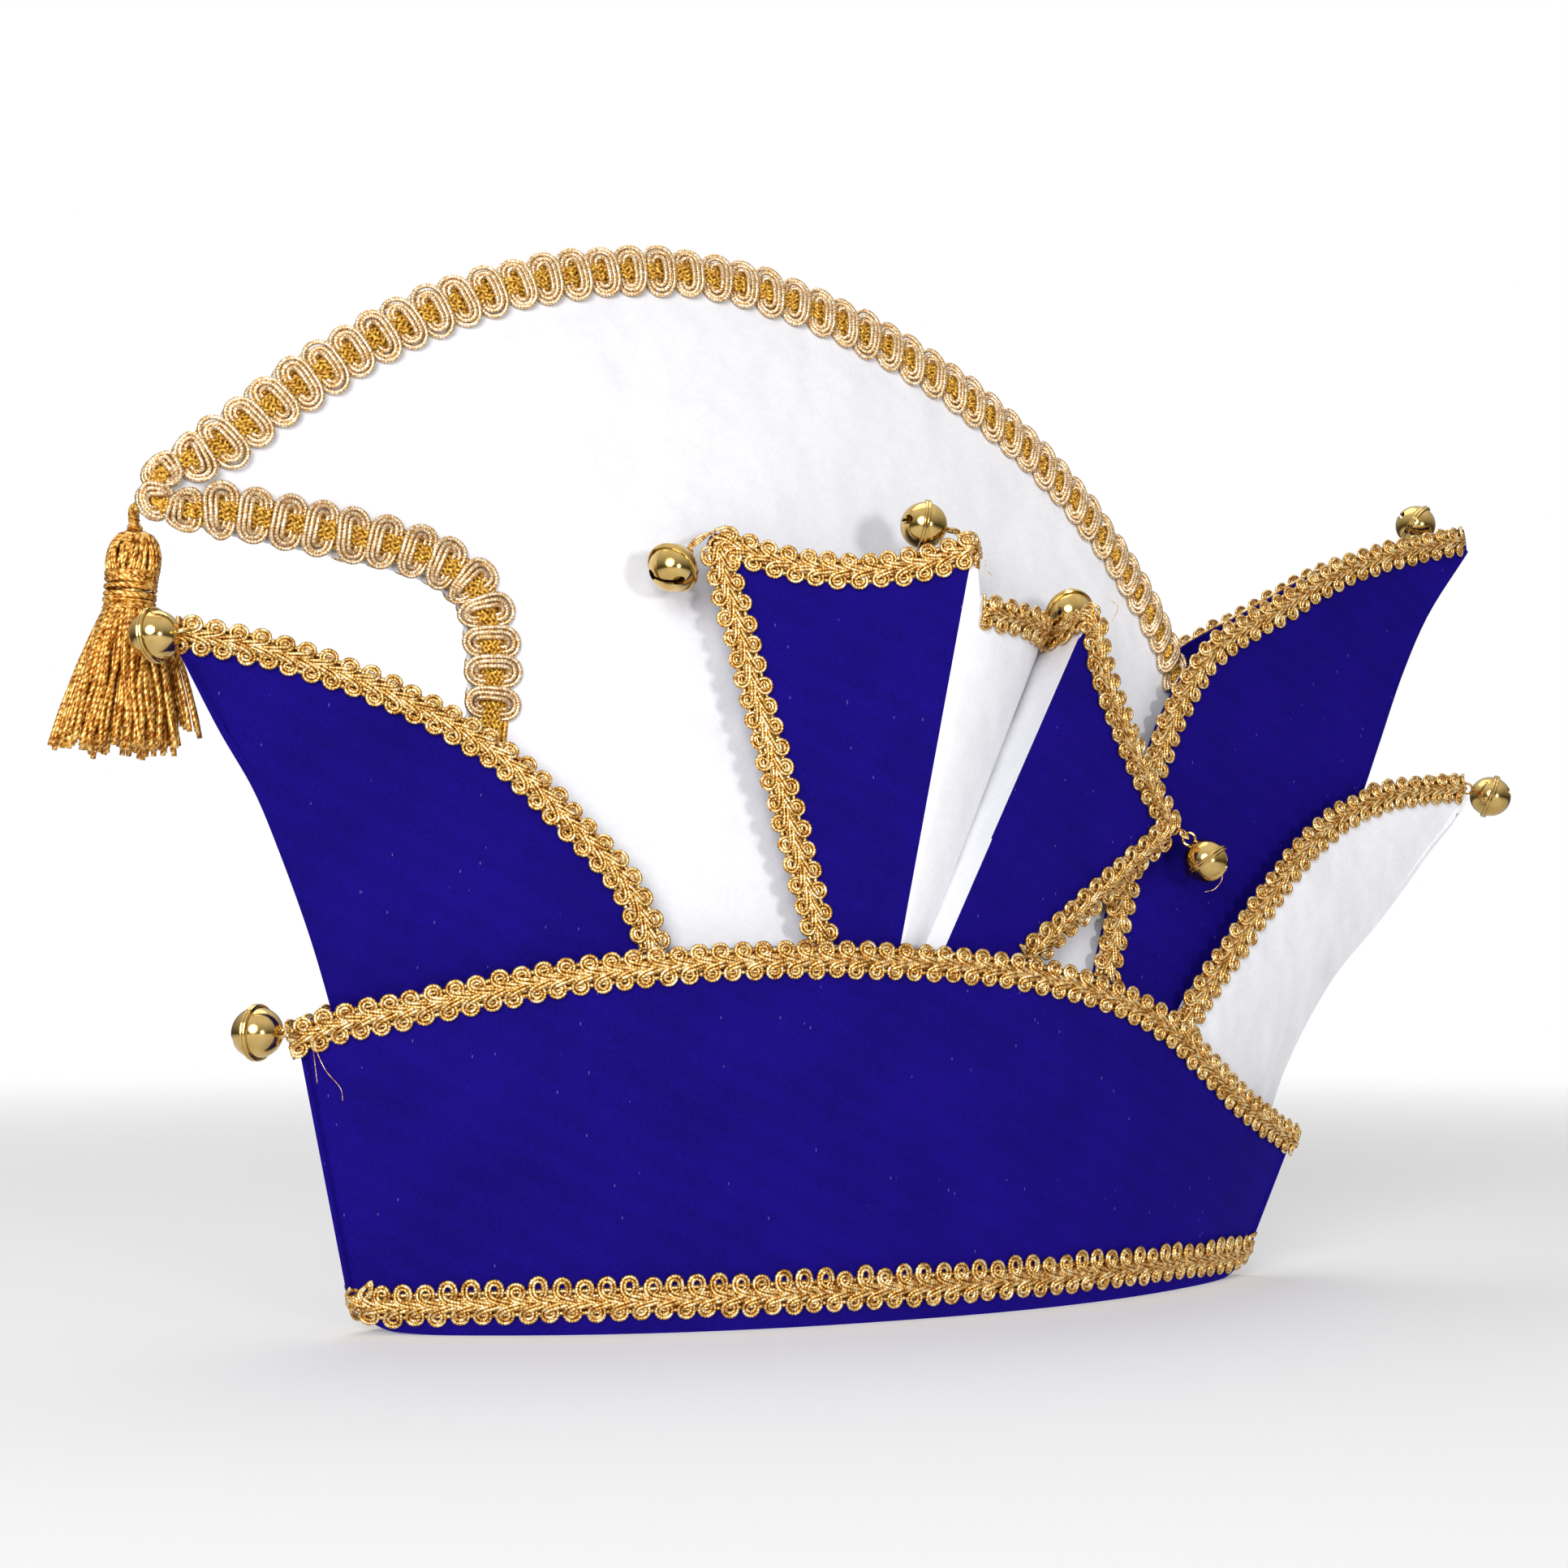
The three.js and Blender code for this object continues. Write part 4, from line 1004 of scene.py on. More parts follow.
# One scroll of the narrow braid, in millimetres: along and across from its centre, and height.
# It is drawn for scrolls 5.8 mm apart.
# The cord comes in under its neighbours, turns round the scroll and leaves over them.
NARROW_SCROLL = (
    (-4.35, 0.0, 0.95),
    (-1.6, 0.7, 0.5),
    (0.65, 1.3, 0.45),
    (1.62, 2.35, 0.5),
    (1.3, 3.75, 0.55),
    (0.0, 4.3, 0.6),
    (-1.35, 3.75, 0.7),
    (-1.65, 2.5, 0.9),
    (-0.75, 1.5, 1.25),
    (1.3, 0.8, 1.5),
)
SCROLL_PITCH = 5.8
# where the two cords of a strand lie beside its middle, and how much the scrolls differ in size and place
SCROLL_CORDS = (-0.48, 0.48)
SCROLL_UNEVENNESS = 0.06
SCROLL_SLIP = 0.25
# cords of the ground: places across, height, radius and distance from point to point
NARROW_GROUND = (-2.8, -1.4, 0.0, 1.4, 2.8)
NARROW_GROUND_HEIGHT = -0.3
NARROW_GROUND_RADIUS = 0.72
GROUND_STEP = 1.8
# how far the scrolls on the upper edge of the hem are drawn out into loops
HEM_PICOT = 1.5
# One coil of the wide braid: its right leg under the core, round the top, down over the core on the left,
# and round the bottom. Along, across and height in millimetres, drawn for coils 8.6 mm apart.
WIDE_COIL = (
    (5.2, 0.0, 0.6),
    (5.2, 2.4, 0.6),
    (4.85, 4.4, 0.75),
    (3.9, 5.5, 1.0),
    (2.6, 5.85, 1.25),
    (1.3, 5.5, 1.6),
    (0.35, 4.4, 2.1),
    (0.0, 2.4, 2.7),
    (0.0, 0.0, 2.9),
    (0.0, -2.4, 2.7),
    (0.35, -4.4, 2.1),
    (1.3, -5.5, 1.6),
    (2.6, -5.85, 1.25),
    (3.9, -5.5, 1.0),
    (4.85, -4.4, 0.75),
    (5.2, -2.4, 0.6),
    (5.2, -0.3, 0.6),
)
COIL_PITCH = 8.6
# where the three cords of a coil lie beside its middle
COIL_CORDS = (-1.35, 0.0, 1.35)
# half the full width of the wide braid, its width at the far end of the arch, and how much it widens
# from there
WIDE_HALF = 7.9
WIDE_WIDTH = 2 * WIDE_HALF
ARCH_END_WIDTH = 11.4
ARCH_WIDENING = 4.4
# shares of the path from the far end of the arch, and the coils' pitch and lean there
COIL_CLOSING = ((0.0, 0.2, 0.4), (0.8, 0.88, 1.0))
COIL_LEAN = ((0.0, 0.2, 0.42), (0.5, 0.45, 0.0))
# cords of the ground and yarns of the core: places across, height and radius
WIDE_GROUND = (-3.9, -2.6, -1.3, 0.0, 1.3, 2.6, 3.9)
WIDE_GROUND_HEIGHT = 0.2
WIDE_GROUND_RADIUS = 0.78
CORE_YARNS = (-1.8, -0.6, 0.6, 1.8)
CORE_HEIGHT = 1.4
CORE_RADIUS = 0.58
CORE_STEP = 0.65


def offset_sideways(x, y, distance):
    """A flat line moved sideways by a distance."""
    along = unit(np.stack([np.gradient(x), np.gradient(y)], 1))
    return x - along[:, 1] * distance, y + along[:, 0] * distance


def narrow_braid(tubes, path, sizes, draw, picot=0.0):
    """Three strands of two cords that scroll from one edge to the other and plait into chevrons.

    picot is how far the scrolls on the upper edge are drawn out into open loops, in millimetres."""
    pitch = sizes.narrow_pitch / MM
    count = int(path.length / pitch) + 1
    pitch = path.length / count
    stretch = pitch / SCROLL_PITCH
    scroll = np.asarray(NARROW_SCROLL)
    for strand in range(3):
        rows = []
        centre = (strand - 3.25) * pitch
        side = 1
        while centre < path.length + 2 * pitch:
            size = 1 + draw.uniform(-SCROLL_UNEVENNESS, SCROLL_UNEVENNESS)
            slip = draw.uniform(-SCROLL_SLIP, SCROLL_SLIP)
            turn = scroll * (stretch, size, 1)
            if side > 0:
                turn[:, 1] += picot * draw.uniform(0.3, 1.2) * smooth_step(turn[:, 1], 1.5, 4.2)
            turn[:, 1] *= side
            turn[1:, 0] += slip
            turn[:, 0] += centre
            rows.append(turn)
            centre += 1.5 * pitch
            side = -side
        line = curve_through(np.vstack(rows))
        samples = np.linspace(0, 1, len(rows) * len(scroll) * 2 + 1)
        x, y, z = line(samples).T
        for distance in SCROLL_CORDS:
            moved_x, moved_y = offset_sideways(x, y, distance)
            inside = (moved_x > 0.3) & (moved_x < path.length - 0.3)
            first, last = np.flatnonzero(inside)[[0, -1]]
            keep = slice(first, last + 1)
            points, out = path.at(moved_x[keep], moved_y[keep], z[keep])
            tubes.add(points, sizes.narrow_cord, out)
    # Ground cords close together, so that no cloth shows between the scrolls
    along = np.arange(0.4, path.length - 0.4, GROUND_STEP)
    level = np.full(len(along), NARROW_GROUND_HEIGHT)
    for across in NARROW_GROUND:
        points, out = path.at(along, np.full(len(along), across), level)
        tubes.add(points, NARROW_GROUND_RADIUS * MM, out, sides=4)


def wide_braid(tubes, core, path, sizes, draw):
    """Flat coils of three cords side by side that lie over one another round a core of soft yarn."""
    widest = sizes.wide_pitch / MM
    line = curve_through(WIDE_COIL)
    x, y, z = line(np.linspace(0, 1, 35)).T
    start = 1.6
    while start < path.length - widest:
        # The coils close up and lean over towards the far end of the arch
        share = start / path.length
        pitch = widest * np.interp(share, *COIL_CLOSING)
        slip = draw.uniform(-0.35, 0.35)
        lean = draw.uniform(-0.08, 0.06) + np.interp(share, *COIL_LEAN)
        for distance in COIL_CORDS:
            size = 1 + draw.uniform(-0.05, 0.05)
            moved_x, moved_y = offset_sideways(x, y, distance)
            along = start + slip + moved_x * pitch / COIL_PITCH + lean * moved_y
            points, out = path.at(along, moved_y * size / WIDE_HALF, z)
            tubes.add(points, sizes.wide_cord, out)
        start += pitch
    # Ground cords close together, so that no cloth shows between the coils
    along = np.arange(0.5, path.length - 0.5, GROUND_STEP)
    level = np.full(len(along), WIDE_GROUND_HEIGHT)
    for across in WIDE_GROUND:
        points, out = path.at(along, np.full(len(along), across / WIDE_HALF), level)
        core.add(points, WIDE_GROUND_RADIUS * MM, out, sides=4)
    # Yarns of the core that wind round one another
    along = np.arange(0.5, path.length - 0.5, CORE_STEP)
    for across in CORE_YARNS:
        phase = draw.uniform(0, 6.28)
        sway = 0.6 * np.sin(along * 2.4 + phase)
        lift = CORE_HEIGHT + 0.35 * np.sin(along * 2.9 + phase)
        points, out = path.at(along, (across + sway) / WIDE_HALF, lift)
        core.add(points, CORE_RADIUS * MM, out, sides=4)


# how far the middle of the narrow braid lies inside the edge of the cloth, and how far each braid lies off it
INSET = 3.6
NARROW_LIFT = 0.45
WIDE_LIFT = 0.9
# how far the braid stands up past the cloth on the second ridge of the fan
RIDGE_RISE = 3.2
# height of the middle of the hem's braid, how far it falls towards the ends, and how far it follows
# the corners
HEM_HEIGHT = 8.8
HEM_FALL = 2.2
HEM_CORNER_SHARE = 0.42
# how far the wide braid runs past the crown's tip, where it comes down the arch and where it turns back
ARCH_PAST_TIP = (-1.2, 0.0, 5.2)
UNDER_PAST_TIP = (-2.2, 0.0, -0.8)


def band_path(height_at, drawn_in, past_end):
    """Once round the band, from the tassel end along the near side.

    drawn_in is how much narrower the braid is at the ends, and past_end how far it stands past them."""
    u = np.linspace(0, 1, 721)
    along = -np.cos(2 * np.pi * u)
    side = np.where(u < 0.5, -1.0, 1.0)
    height = height_at(along)
    points = band_point(along, height, side)
    lean = np.where(along < 0, *BAND_LEAN)
    along_band = np.gradient(points, axis=0)
    up = band_point(along, height + 1, side) - points
    normals = unit(np.cross(unit(along_band), unit(up)))
    ends = np.abs(along) > 0.9995
    normals[ends] = unit(np.stack([np.sign(along), 0 * along, -lean], 1))[ends]
    points = points + normals * NARROW_LIFT
    points[:, 0] += np.sign(along) * past_end * smooth_step(np.abs(along), 0.96, 1.0)
    return Path(points, normals, 1 - drawn_in * smooth_step(np.abs(along), 0.97, 1.0))


def hem_height(along):
    """How high the middle of the hem's braid lies."""
    return HEM_HEIGHT - HEM_FALL * along**4 + HEM_CORNER_SHARE * foot_rounding(along)


def band_braid_height(along):
    """How high the middle of the braid on the upper edge of the band lies."""
    return smooth_value(BAND_TOP, along) - INSET


def horn_path(table):
    """Up the free edge of the near panel, round the tip and down the far one."""
    surface = horn_surface(table)
    up = np.linspace(0.12, 0.992, 90)
    one = np.ones_like(up)
    length = np.linalg.norm(surface(up, -one) - surface(up, -1e-6 * one), axis=1)
    across = -np.maximum(1 - INSET / length, 0.4)
    step = 0.01
    points = surface(up, across)
    along = surface(np.minimum(up + step, 1), across) - surface(up - step, across)
    over = surface(up, across - step) - surface(up, across + step)
    normals = unit(np.cross(over, along))
    normals[normals[:, 1] > 0] *= -1
    points = points + normals * NARROW_LIFT
    away = unit(points[-1] - points[-6])
    tip = points[-1] * (1, 0, 1) + away * 3.0
    points = np.vstack([points, [tip], mirrored(points)[::-1]])
    normals = np.vstack([normals, [away], mirrored(normals)[::-1]])
    return Path(points, normals, rounding=1.6)


# the edges of the fan that each of its two lengths of braid covers
FAN_BRAID_EDGES = (
    ("outer_tassel_side", "top_tassel_side"),
    ("top_white", "top_far_side", "outer_far_side"),
)


def fan_paths():
    """The two lengths of braid on the near fan: on the first blue panel, and from the white panel onwards."""
    lengths = ([], [])

    def add(length, panel, across, up):
        normals = surface_normal(fan_panel(panel), across, up, 0.02)
        lengths[length].append((fan_point(panel, across, up) + normals * NARROW_LIFT, normals))

    def width(panel, up):
        one = np.ones_like(up)
        return np.linalg.norm(fan_point(panel, one, up) - fan_point(panel, 0 * one, up), axis=1)

    def top(length, panel, start, end, rising=None):
        """Along the upper edge. rising is where the braid starts to stand up and where it has done so."""
        across = np.linspace(start, end, 40)
        one = np.ones_like(across)
        height = np.linalg.norm(fan_point(panel, across, one) - fan_point(panel, across, 0 * one), axis=1)
        rise = RIDGE_RISE * smooth_step(across, *rising) if rising else 0.0
        add(length, panel, across, 1 - (INSET - rise) / height)

    up = np.linspace(0.08, 0.955, 60)
    add(0, 0, INSET / width(0, up), up)
    top(0, 0, 0.07, 1.0)
    # At the first ridge the end of the braid is folded round the cloth
    ridge = lengths[0][-1][0][-1]
    folded = np.array([(1.4, 0.5, -0.3), (2.2, 2.4, -0.8), (2.2, 5.0, -1.2)])
    turned = unit(np.array([(0.6, -0.8, 0), (1, 0, 0), (1, 0.2, 0)]))
    lengths[0].append((ridge + folded, turned))
    top(1, 1, 0.05, 0.93)
    # Over the second ridge the braid stands up past the cloth
    top(1, 2, 0.12, 0.97, (0.4, 0.97))
    top(1, 3, 0.0, 0.94, (0.16, 0.02))
    up = np.linspace(0.93, 0.2, 40)
    add(1, 3, 1 - INSET / width(3, up), up)
    return [tuple(np.vstack(column) for column in zip(*length)) for length in lengths]


def crown_path(flip_side):
    """Over the arch of one face from the far end, round the curled tip and back along the under edge."""
    arch = np.linspace(0.2, 0.985, 220)
    under = np.linspace(0.985, 0.165, 150)
    section = np.concatenate([arch, under])
    on_arch = np.concatenate([np.ones_like(arch), np.zeros_like(under)]) > 0.5
    length = np.linalg.norm(crown_under(section) - crown_arch(section), axis=1)
    tapered = ARCH_END_WIDTH + ARCH_WIDENING * smooth_step(section, 0.2, 0.52)
    width = np.where(on_arch, tapered, WIDE_WIDTH)
    width = np.minimum(width, np.maximum(length / 2 + 2.6, 9.5))
    # On the near face the braid hangs over the under edge a little, on the far face it lies above it
    over_edge = np.where(on_arch, 0.4, -0.8 if flip_side else 1.4)
    share = np.minimum((width / 2 - over_edge) / length, 0.42)
    across = np.where(on_arch, 1 - share, share)
    step = 0.006
    side = -np.ones_like(section)
    points = crown_point(section, across, side)
    higher = crown_point(np.minimum(section + step, 1), across, side)
    rise = higher - crown_point(section - step, across, side)
    over = crown_point(section, across + step, side) - crown_point(section, across - step, side)
    normals = unit(np.cross(over, rise))
    normals[normals[:, 1] > 0] *= -1
    normals = unit(normals + (0, -1, 0))
    points = points + normals * WIDE_LIFT
    # Past the tip the braid runs on a little before it turns back in a blunt end
    past_tip = np.where(on_arch[:, None], ARCH_PAST_TIP, UNDER_PAST_TIP)
    points = points + past_tip * smooth_step(section, 0.86, 0.985)[:, None]
    if flip_side:
        points, normals = mirrored(points), mirrored(normals)
    return Path(points, normals, width / WIDE_WIDTH * WIDE_HALF, flip=not flip_side, rounding=2.0)


# Operators


class CAP_OT_band(bpy.types.Operator):
    """Makes the velvet band"""

    bl_idname = "cap.band"
    bl_label = "Band"

    def execute(self, context):
        obj, _ = sheet_from_grid(band_surface, BAND_GRID, BAND_WALL, welded=True)
        finished(obj, "band_velvet", material_named(context, VELVET), ["band"])
        return {"FINISHED"}


class CAP_OT_crown(bpy.types.Operator):
    """Makes the satin crown with its curled tip"""

    bl_idname = "cap.crown"
    bl_label = "Crown"

    def execute(self, context):
        obj, _ = sheet_from_grid(crown_surface, CROWN_GRID, CROWN_WALL, welded=True)
        finished(obj, "crown_satin", material_named(context, SATIN), ["crown"])
        return {"FINISHED"}


# rows of the horn, finish, slot, and which way round its outer edge its panels face out
HORNS = {
    "tassel_end": (HORN_TASSEL_END, VELVET, "velvet", -1),
    "blue_far_end": (HORN_BLUE_FAR_END, VELVET, "velvet", 1),
    "white_far_end": (HORN_WHITE_FAR_END, SATIN, "satin", 1),
}


def facing_out(horn, facing):
    """A horn as a function of two shares from 0 to 1, with its outer face outwards."""

    def at(u, v):
        return horn(v, (2 * u - 1) * facing)

    return at


def declare_sheet(surface):
    """Measures the longest lines along and across a stiff panel; nothing is done with them."""
    count = 40
    shares = np.linspace(0, 1, count)

    def longest(lines):
        return max(np.linalg.norm(np.diff(line, axis=0), axis=1).sum() for line in lines) * MM

    across = longest([surface(shares, np.full(count, v)) for v in shares[::3]])
    along = longest([surface(np.full(count, u), shares) for u in shares[::3]])


class CAP_OT_horns(bpy.types.Operator):
    """Makes the two velvet horns and the satin horn"""

    bl_idname = "cap.horns"
    bl_label = "Horns"

    def execute(self, context):
        for name, (table, finish, slot, facing) in HORNS.items():
            surface = facing_out(horn_surface(table), facing)
            obj, area = sheet_from_grid(surface, HORN_GRID, HORN_WALL)
            finished(obj, f"horn_{name}_cloth", material_named(context, finish), [f"horn_{name}"])
            declare_sheet(surface)
        return {"FINISHED"}


def pleat(u, v):
    """The two white panels of the near fan, the second one ending just short of its ridge."""
    first = fan_point(1, np.clip(u / PLEAT_FOLD, 0, 1), v)
    second = fan_point(2, np.clip((u - PLEAT_FOLD) / (1 - PLEAT_FOLD), 0, 1) * PLEAT_END, v)
    return np.where((u < PLEAT_FOLD)[:, None], first, second)


def on_far_side(panel):
    """A panel of the near fan as its mirror image on the far side."""

    def at(u, v):
        return mirrored(panel(1 - u, v))

    return at


class CAP_OT_fans(bpy.types.Operator):
    """Makes the pleated fan on each side"""

    bl_idname = "cap.fans"
    bl_label = "Fans"

    def execute(self, context):
        tassel_side = rounded_corners(fan_panel(0), *TASSEL_SIDE_CORNERS)
        far_side = rounded_corners(fan_panel(3), *FAR_SIDE_CORNERS)
        panels = (
            ("blue_tassel_side", tassel_side, VELVET, "velvet", FAN_GRID),
            ("white", pleat, SATIN, "satin", PLEAT_GRID),
            ("blue_far_side", far_side, VELVET, "velvet", FAN_GRID),
        )
        for name, panel, finish, slot, grid in panels:
            material = material_named(context, finish)
            for side, surface in (("near", panel), ("far", on_far_side(panel))):
                obj, area = sheet_from_grid(surface, grid, FAN_WALL, even=False)
                finished(obj, f"fan_{name}_{side}_cloth", material, [f"fan_{name}_{side}"])
                declare_sheet(surface)
        return {"FINISHED"}


class CAP_OT_narrow_braids(bpy.types.Operator):
    """Makes the narrow gold braid on every edge of the band, the horns and the fans"""

    bl_idname = "cap.narrow_braids"
    bl_label = "Narrow Braids"

    def execute(self, context):
        sizes = context.scene.cap_sizes
        material = material_named(context, GOLD_CORD)
        rows = [
            ("hem", band_path(hem_height, 0.4, -1.5), ["braid_hem"]),
            ("band", band_path(band_braid_height, 0.0, 1.2), ["braid_band"]),
        ]
        for number, ((points, normals), edges) in enumerate(zip(fan_paths(), FAN_BRAID_EDGES), 1):
            near = Path(points, normals)
            far = Path(mirrored(points), mirrored(normals), flip=True)
            rows.append((f"fan_{number}_near", near, [f"braid_fan_{edge}_near" for edge in edges]))
            rows.append((f"fan_{number}_far", far, [f"braid_fan_{edge}_far" for edge in edges]))
        for name, (table, *_) in HORNS.items():
            nodes = [f"braid_horn_{name}_near", f"braid_horn_{name}_far"]
            rows.append((f"horn_{name}", horn_path(table), nodes))
        for number, (name, path, nodes) in enumerate(rows):
            tubes = Tubes()
            picot = HEM_PICOT if name == "hem" else 0.0
            narrow_braid(tubes, path, sizes, random.Random(SEED + number), picot)
            tubes.piece(f"gimp_{name}", material, "gold_braid", nodes)
        return {"FINISHED"}


class CAP_OT_wide_braids(bpy.types.Operator):
    """Makes the wide gold braid on both faces of the crown's seam"""

    bl_idname = "cap.wide_braids"
    bl_label = "Wide Braids"

    def execute(self, context):
        sizes = context.scene.cap_sizes
        for number, side in enumerate(("near", "far")):
            path = crown_path(side == "far")
            tubes = Tubes()
            core = Tubes()
            wide_braid(tubes, core, path, sizes, random.Random(SEED + 20 + number))
            nodes = [f"braid_crown_arch_{side}", f"braid_crown_under_{side}"]
            tubes.piece(f"gimp_crown_{side}", material_named(context, PALE_CORD), "gold_braid", nodes)
            core.piece(f"gimp_crown_core_{side}", material_named(context, CORE_YARN), "gold_braid", [])
        return {"FINISHED"}


# a bell's sheet, its slit and the round ends of the slit, in millimetres, and how far out the slit reaches
BELL_SHEET = 0.45
SLIT_WIDTH = 0.9
SLIT_END_RADIUS = 1.35
SLIT_REACH = 0.6
# height of the two lips of its seam above and below the middle, how far they stand out, and their radius
LIP_HEIGHT = 0.42
LIP_STANDING_OUT = 0.3
LIP_RADIUS = 0.5
# height of the middle of its loop above the shell, the loop's radius and that of its wire
LOOP_HEIGHT = 1.5
LOOP_RADIUS = 1.9
LOOP_WIRE = 0.42


def cut_away(obj):
    """Cuts the active object out of a piece and removes it."""
    cutter = bpy.context.object
    bpy.ops.object.transform_apply(location=True, rotation=True, scale=True)
    apply_modifier(obj, "BOOLEAN", operation="DIFFERENCE", object=cutter, solver="EXACT")
    bpy.data.objects.remove(cutter)


def bell_template(radius):
    """One bell at the origin with its loop up, a lipped seam round it and a slit with round ends below."""
    deselect_all()
    bpy.ops.mesh.primitive_uv_sphere_add(segments=36, ring_count=22, radius=radius)
    bell = bpy.context.object
    apply_modifier(bell, "SOLIDIFY", thickness=BELL_SHEET * MM, offset=-1.0)
    reach = radius * SLIT_REACH
    deselect_all()
    bpy.ops.mesh.primitive_cube_add(size=1.0, location=(0, 0, -radius))
    bpy.context.object.scale = (2 * reach, SLIT_WIDTH * MM, radius)
    cut_away(bell)
    for x in (-reach, reach):
        deselect_all()
        bpy.ops.mesh.primitive_cylinder_add(
            vertices=16, radius=SLIT_END_RADIUS * MM, depth=radius * 1.5, location=(x, 0, -radius)
        )
        cut_away(bell)
    deselect_all()
    parts = [bell]
    for height in (-LIP_HEIGHT * MM, LIP_HEIGHT * MM):
        bpy.ops.mesh.primitive_torus_add(
            location=(0, 0, height),
            major_segments=44,
            minor_segments=8,
            major_radius=radius + LIP_STANDING_OUT * MM,
            minor_radius=LIP_RADIUS * MM,
        )
        parts.append(bpy.context.object)
    bpy.ops.mesh.primitive_torus_add(
        location=(0, 0, radius + LOOP_HEIGHT * MM),
        rotation=(math.pi / 2, 0, 0),
        major_segments=20,
        minor_segments=8,
        major_radius=LOOP_RADIUS * MM,
        minor_radius=LOOP_WIRE * MM,
    )
    parts.append(bpy.context.object)
    deselect_all()
    for part in parts:
        part.select_set(True)
    bpy.context.view_layer.objects.active = bell
    bpy.ops.object.transform_apply(location=True, rotation=True, scale=True)
    bpy.ops.object.join()
    bpy.ops.object.shade_smooth_by_angle(angle=math.radians(40))
    return bell


def bell_rows():
    """Name, centre, direction to the tip and turn of every bell on both sides."""
    rows = []
    for name, x, y, z, to_x, to_y, to_z, turn in MIDDLE_BELLS:
        rows.append((name, (x, y, z), (to_x, to_y, to_z), turn))
    for name, x, y, z, to_x, to_y, to_z, turn in FAN_BELLS:
        rows.append((f"bell_fan_{name}_near", (x, y, z), (to_x, to_y, to_z), turn))
        rows.append((f"bell_fan_{name}_far", (x, -y, z), (to_x, -to_y, to_z), -turn))
    return rows


class CAP_OT_bells(bpy.types.Operator):
    """Makes the twelve brass bells"""

    bl_idname = "cap.bells"
    bl_label = "Bells"

    def execute(self, context):
        radius = context.scene.cap_sizes.bell_radius
        bell = bell_template(radius)
        for name, centre, to, turn in bell_rows():
            mesh = bell.data.copy()
            towards = Vector(to).normalized().to_track_quat("Z", "Y").to_matrix().to_4x4()
            spin = Matrix.Rotation(math.radians(turn), 4, "Z")
            mesh.transform(Matrix.Translation(Vector(placed(centre))) @ towards @ spin)
            obj = bpy.data.objects.new(name, mesh)
            context.scene.collection.objects.link(obj)
            finished(obj, f"{name}_brass", material_named(context, BRASS), [name])
        bpy.data.objects.remove(bell)
        return {"FINISHED"}


# cords over the tassel's head, how far down they reach, and the radius of these and of the binding
HEAD_CORDS = 64
HEAD_DEPTH = 14
HEAD_CORD_RADIUS = 0.5
# turns of the binding round the neck, how far below the top they start, and how far down they go
NECK_TURNS = 14
NECK_START = 10.4
NECK_DEPTH = 10.2
# hanging cords, how many of them stand off to one side, and how far below the top they start
SKIRT_CORDS = 150
STRAY_CORDS = 9
SKIRT_START = 19
# plies of the cord that the tassel hangs on: turns, radius, and how far each lies from the middle
HANGING_TURNS = 6
HANGING_PLY_RADIUS = 0.84
HANGING_PLY_OFFSET = 0.78
KNOT_RADIUS = 1.5
KNOT_CORD_RADIUS = 0.6
TASSEL_DOWN, TASSEL_RADIUS = np.asarray(TASSEL_PROFILE, float).T


def tassel_point(down, angle, share):
    """A point of the tassel below its top, round it, and at a share of its radius."""
    top = np.asarray(TASSEL_TOP, float)
    width = np.interp(down, TASSEL_DOWN, TASSEL_RADIUS) * share
    x = top[0] + TASSEL_LEAN * down + width * np.cos(angle)
    y = top[1] + width * np.sin(angle) * TASSEL_FLATNESS
    return np.stack(np.broadcast_arrays(x, y, top[2] - down), -1)


def tassel_head(tubes, draw):
    """A filled middle with cords laid over it, and the binding round the neck."""
    middle = np.linspace(0.6, 30, 24)
    filler = np.interp(middle, TASSEL_DOWN, TASSEL_RADIUS) * TASSEL_FLATNESS * 0.86
    tubes.add(placed(tassel_point(middle, 0.0, 0.0)), filler * MM, (0, 1, 0), sides=14)
    for number in range(HEAD_CORDS):
        angle = 2 * math.pi * (number + draw.uniform(-0.4, 0.4)) / HEAD_CORDS
        down = np.linspace(0.2, HEAD_DEPTH, 14)
        swing = angle + draw.uniform(-0.5, 0.5) * (down / HEAD_DEPTH) ** 1.5
        line = tassel_point(down, swing, 0.97 + draw.uniform(-0.07, 0.07))
        tubes.add(placed(line), HEAD_CORD_RADIUS * MM, (0.2, 0.3, 1))
    angle = np.linspace(0, 2 * math.pi * NECK_TURNS, NECK_TURNS * 20)
    uneven = 0.5 * np.sin(angle * 0.61) + 0.3 * np.sin(angle * 0.23)
    down = NECK_START + NECK_DEPTH * angle / angle[-1] + uneven
    tubes.add(placed(tassel_point(down, angle, 1.06)), HEAD_CORD_RADIUS * MM, (0, 0, 1))


def tassel_skirt(tubes, draw, radius):
    """Hanging cords of uneven length, a few of them standing off towards the horn."""
    for number in range(SKIRT_CORDS):
        share = math.sqrt(draw.uniform(0.12, 1.25))
        angle = draw.uniform(0, 2 * math.pi)
        end = draw.uniform(57, 61) - 3.5 * draw.random() ** 4 - 3.0 * abs(share - 0.4)
        if number < STRAY_CORDS:
            share = draw.uniform(1.25, 1.5)
            angle = draw.uniform(-0.4, 0.9)
            end = draw.uniform(50, 55)
        down = np.linspace(SKIRT_START, end, 16)
        share_down = 1 + (share - 1) * smooth_step(down, 16, 34)
        wave = 0.05 * np.sin(down * draw.uniform(0.15, 0.3) + draw.uniform(0, 6.28))
        swing = angle + wave + draw.uniform(-0.2, 0.2) * ((down - SKIRT_START) / 40)
        tubes.add(placed(tassel_point(down, swing, 0.94 * share_down)), radius, (0.3, 0.8, 0.2))


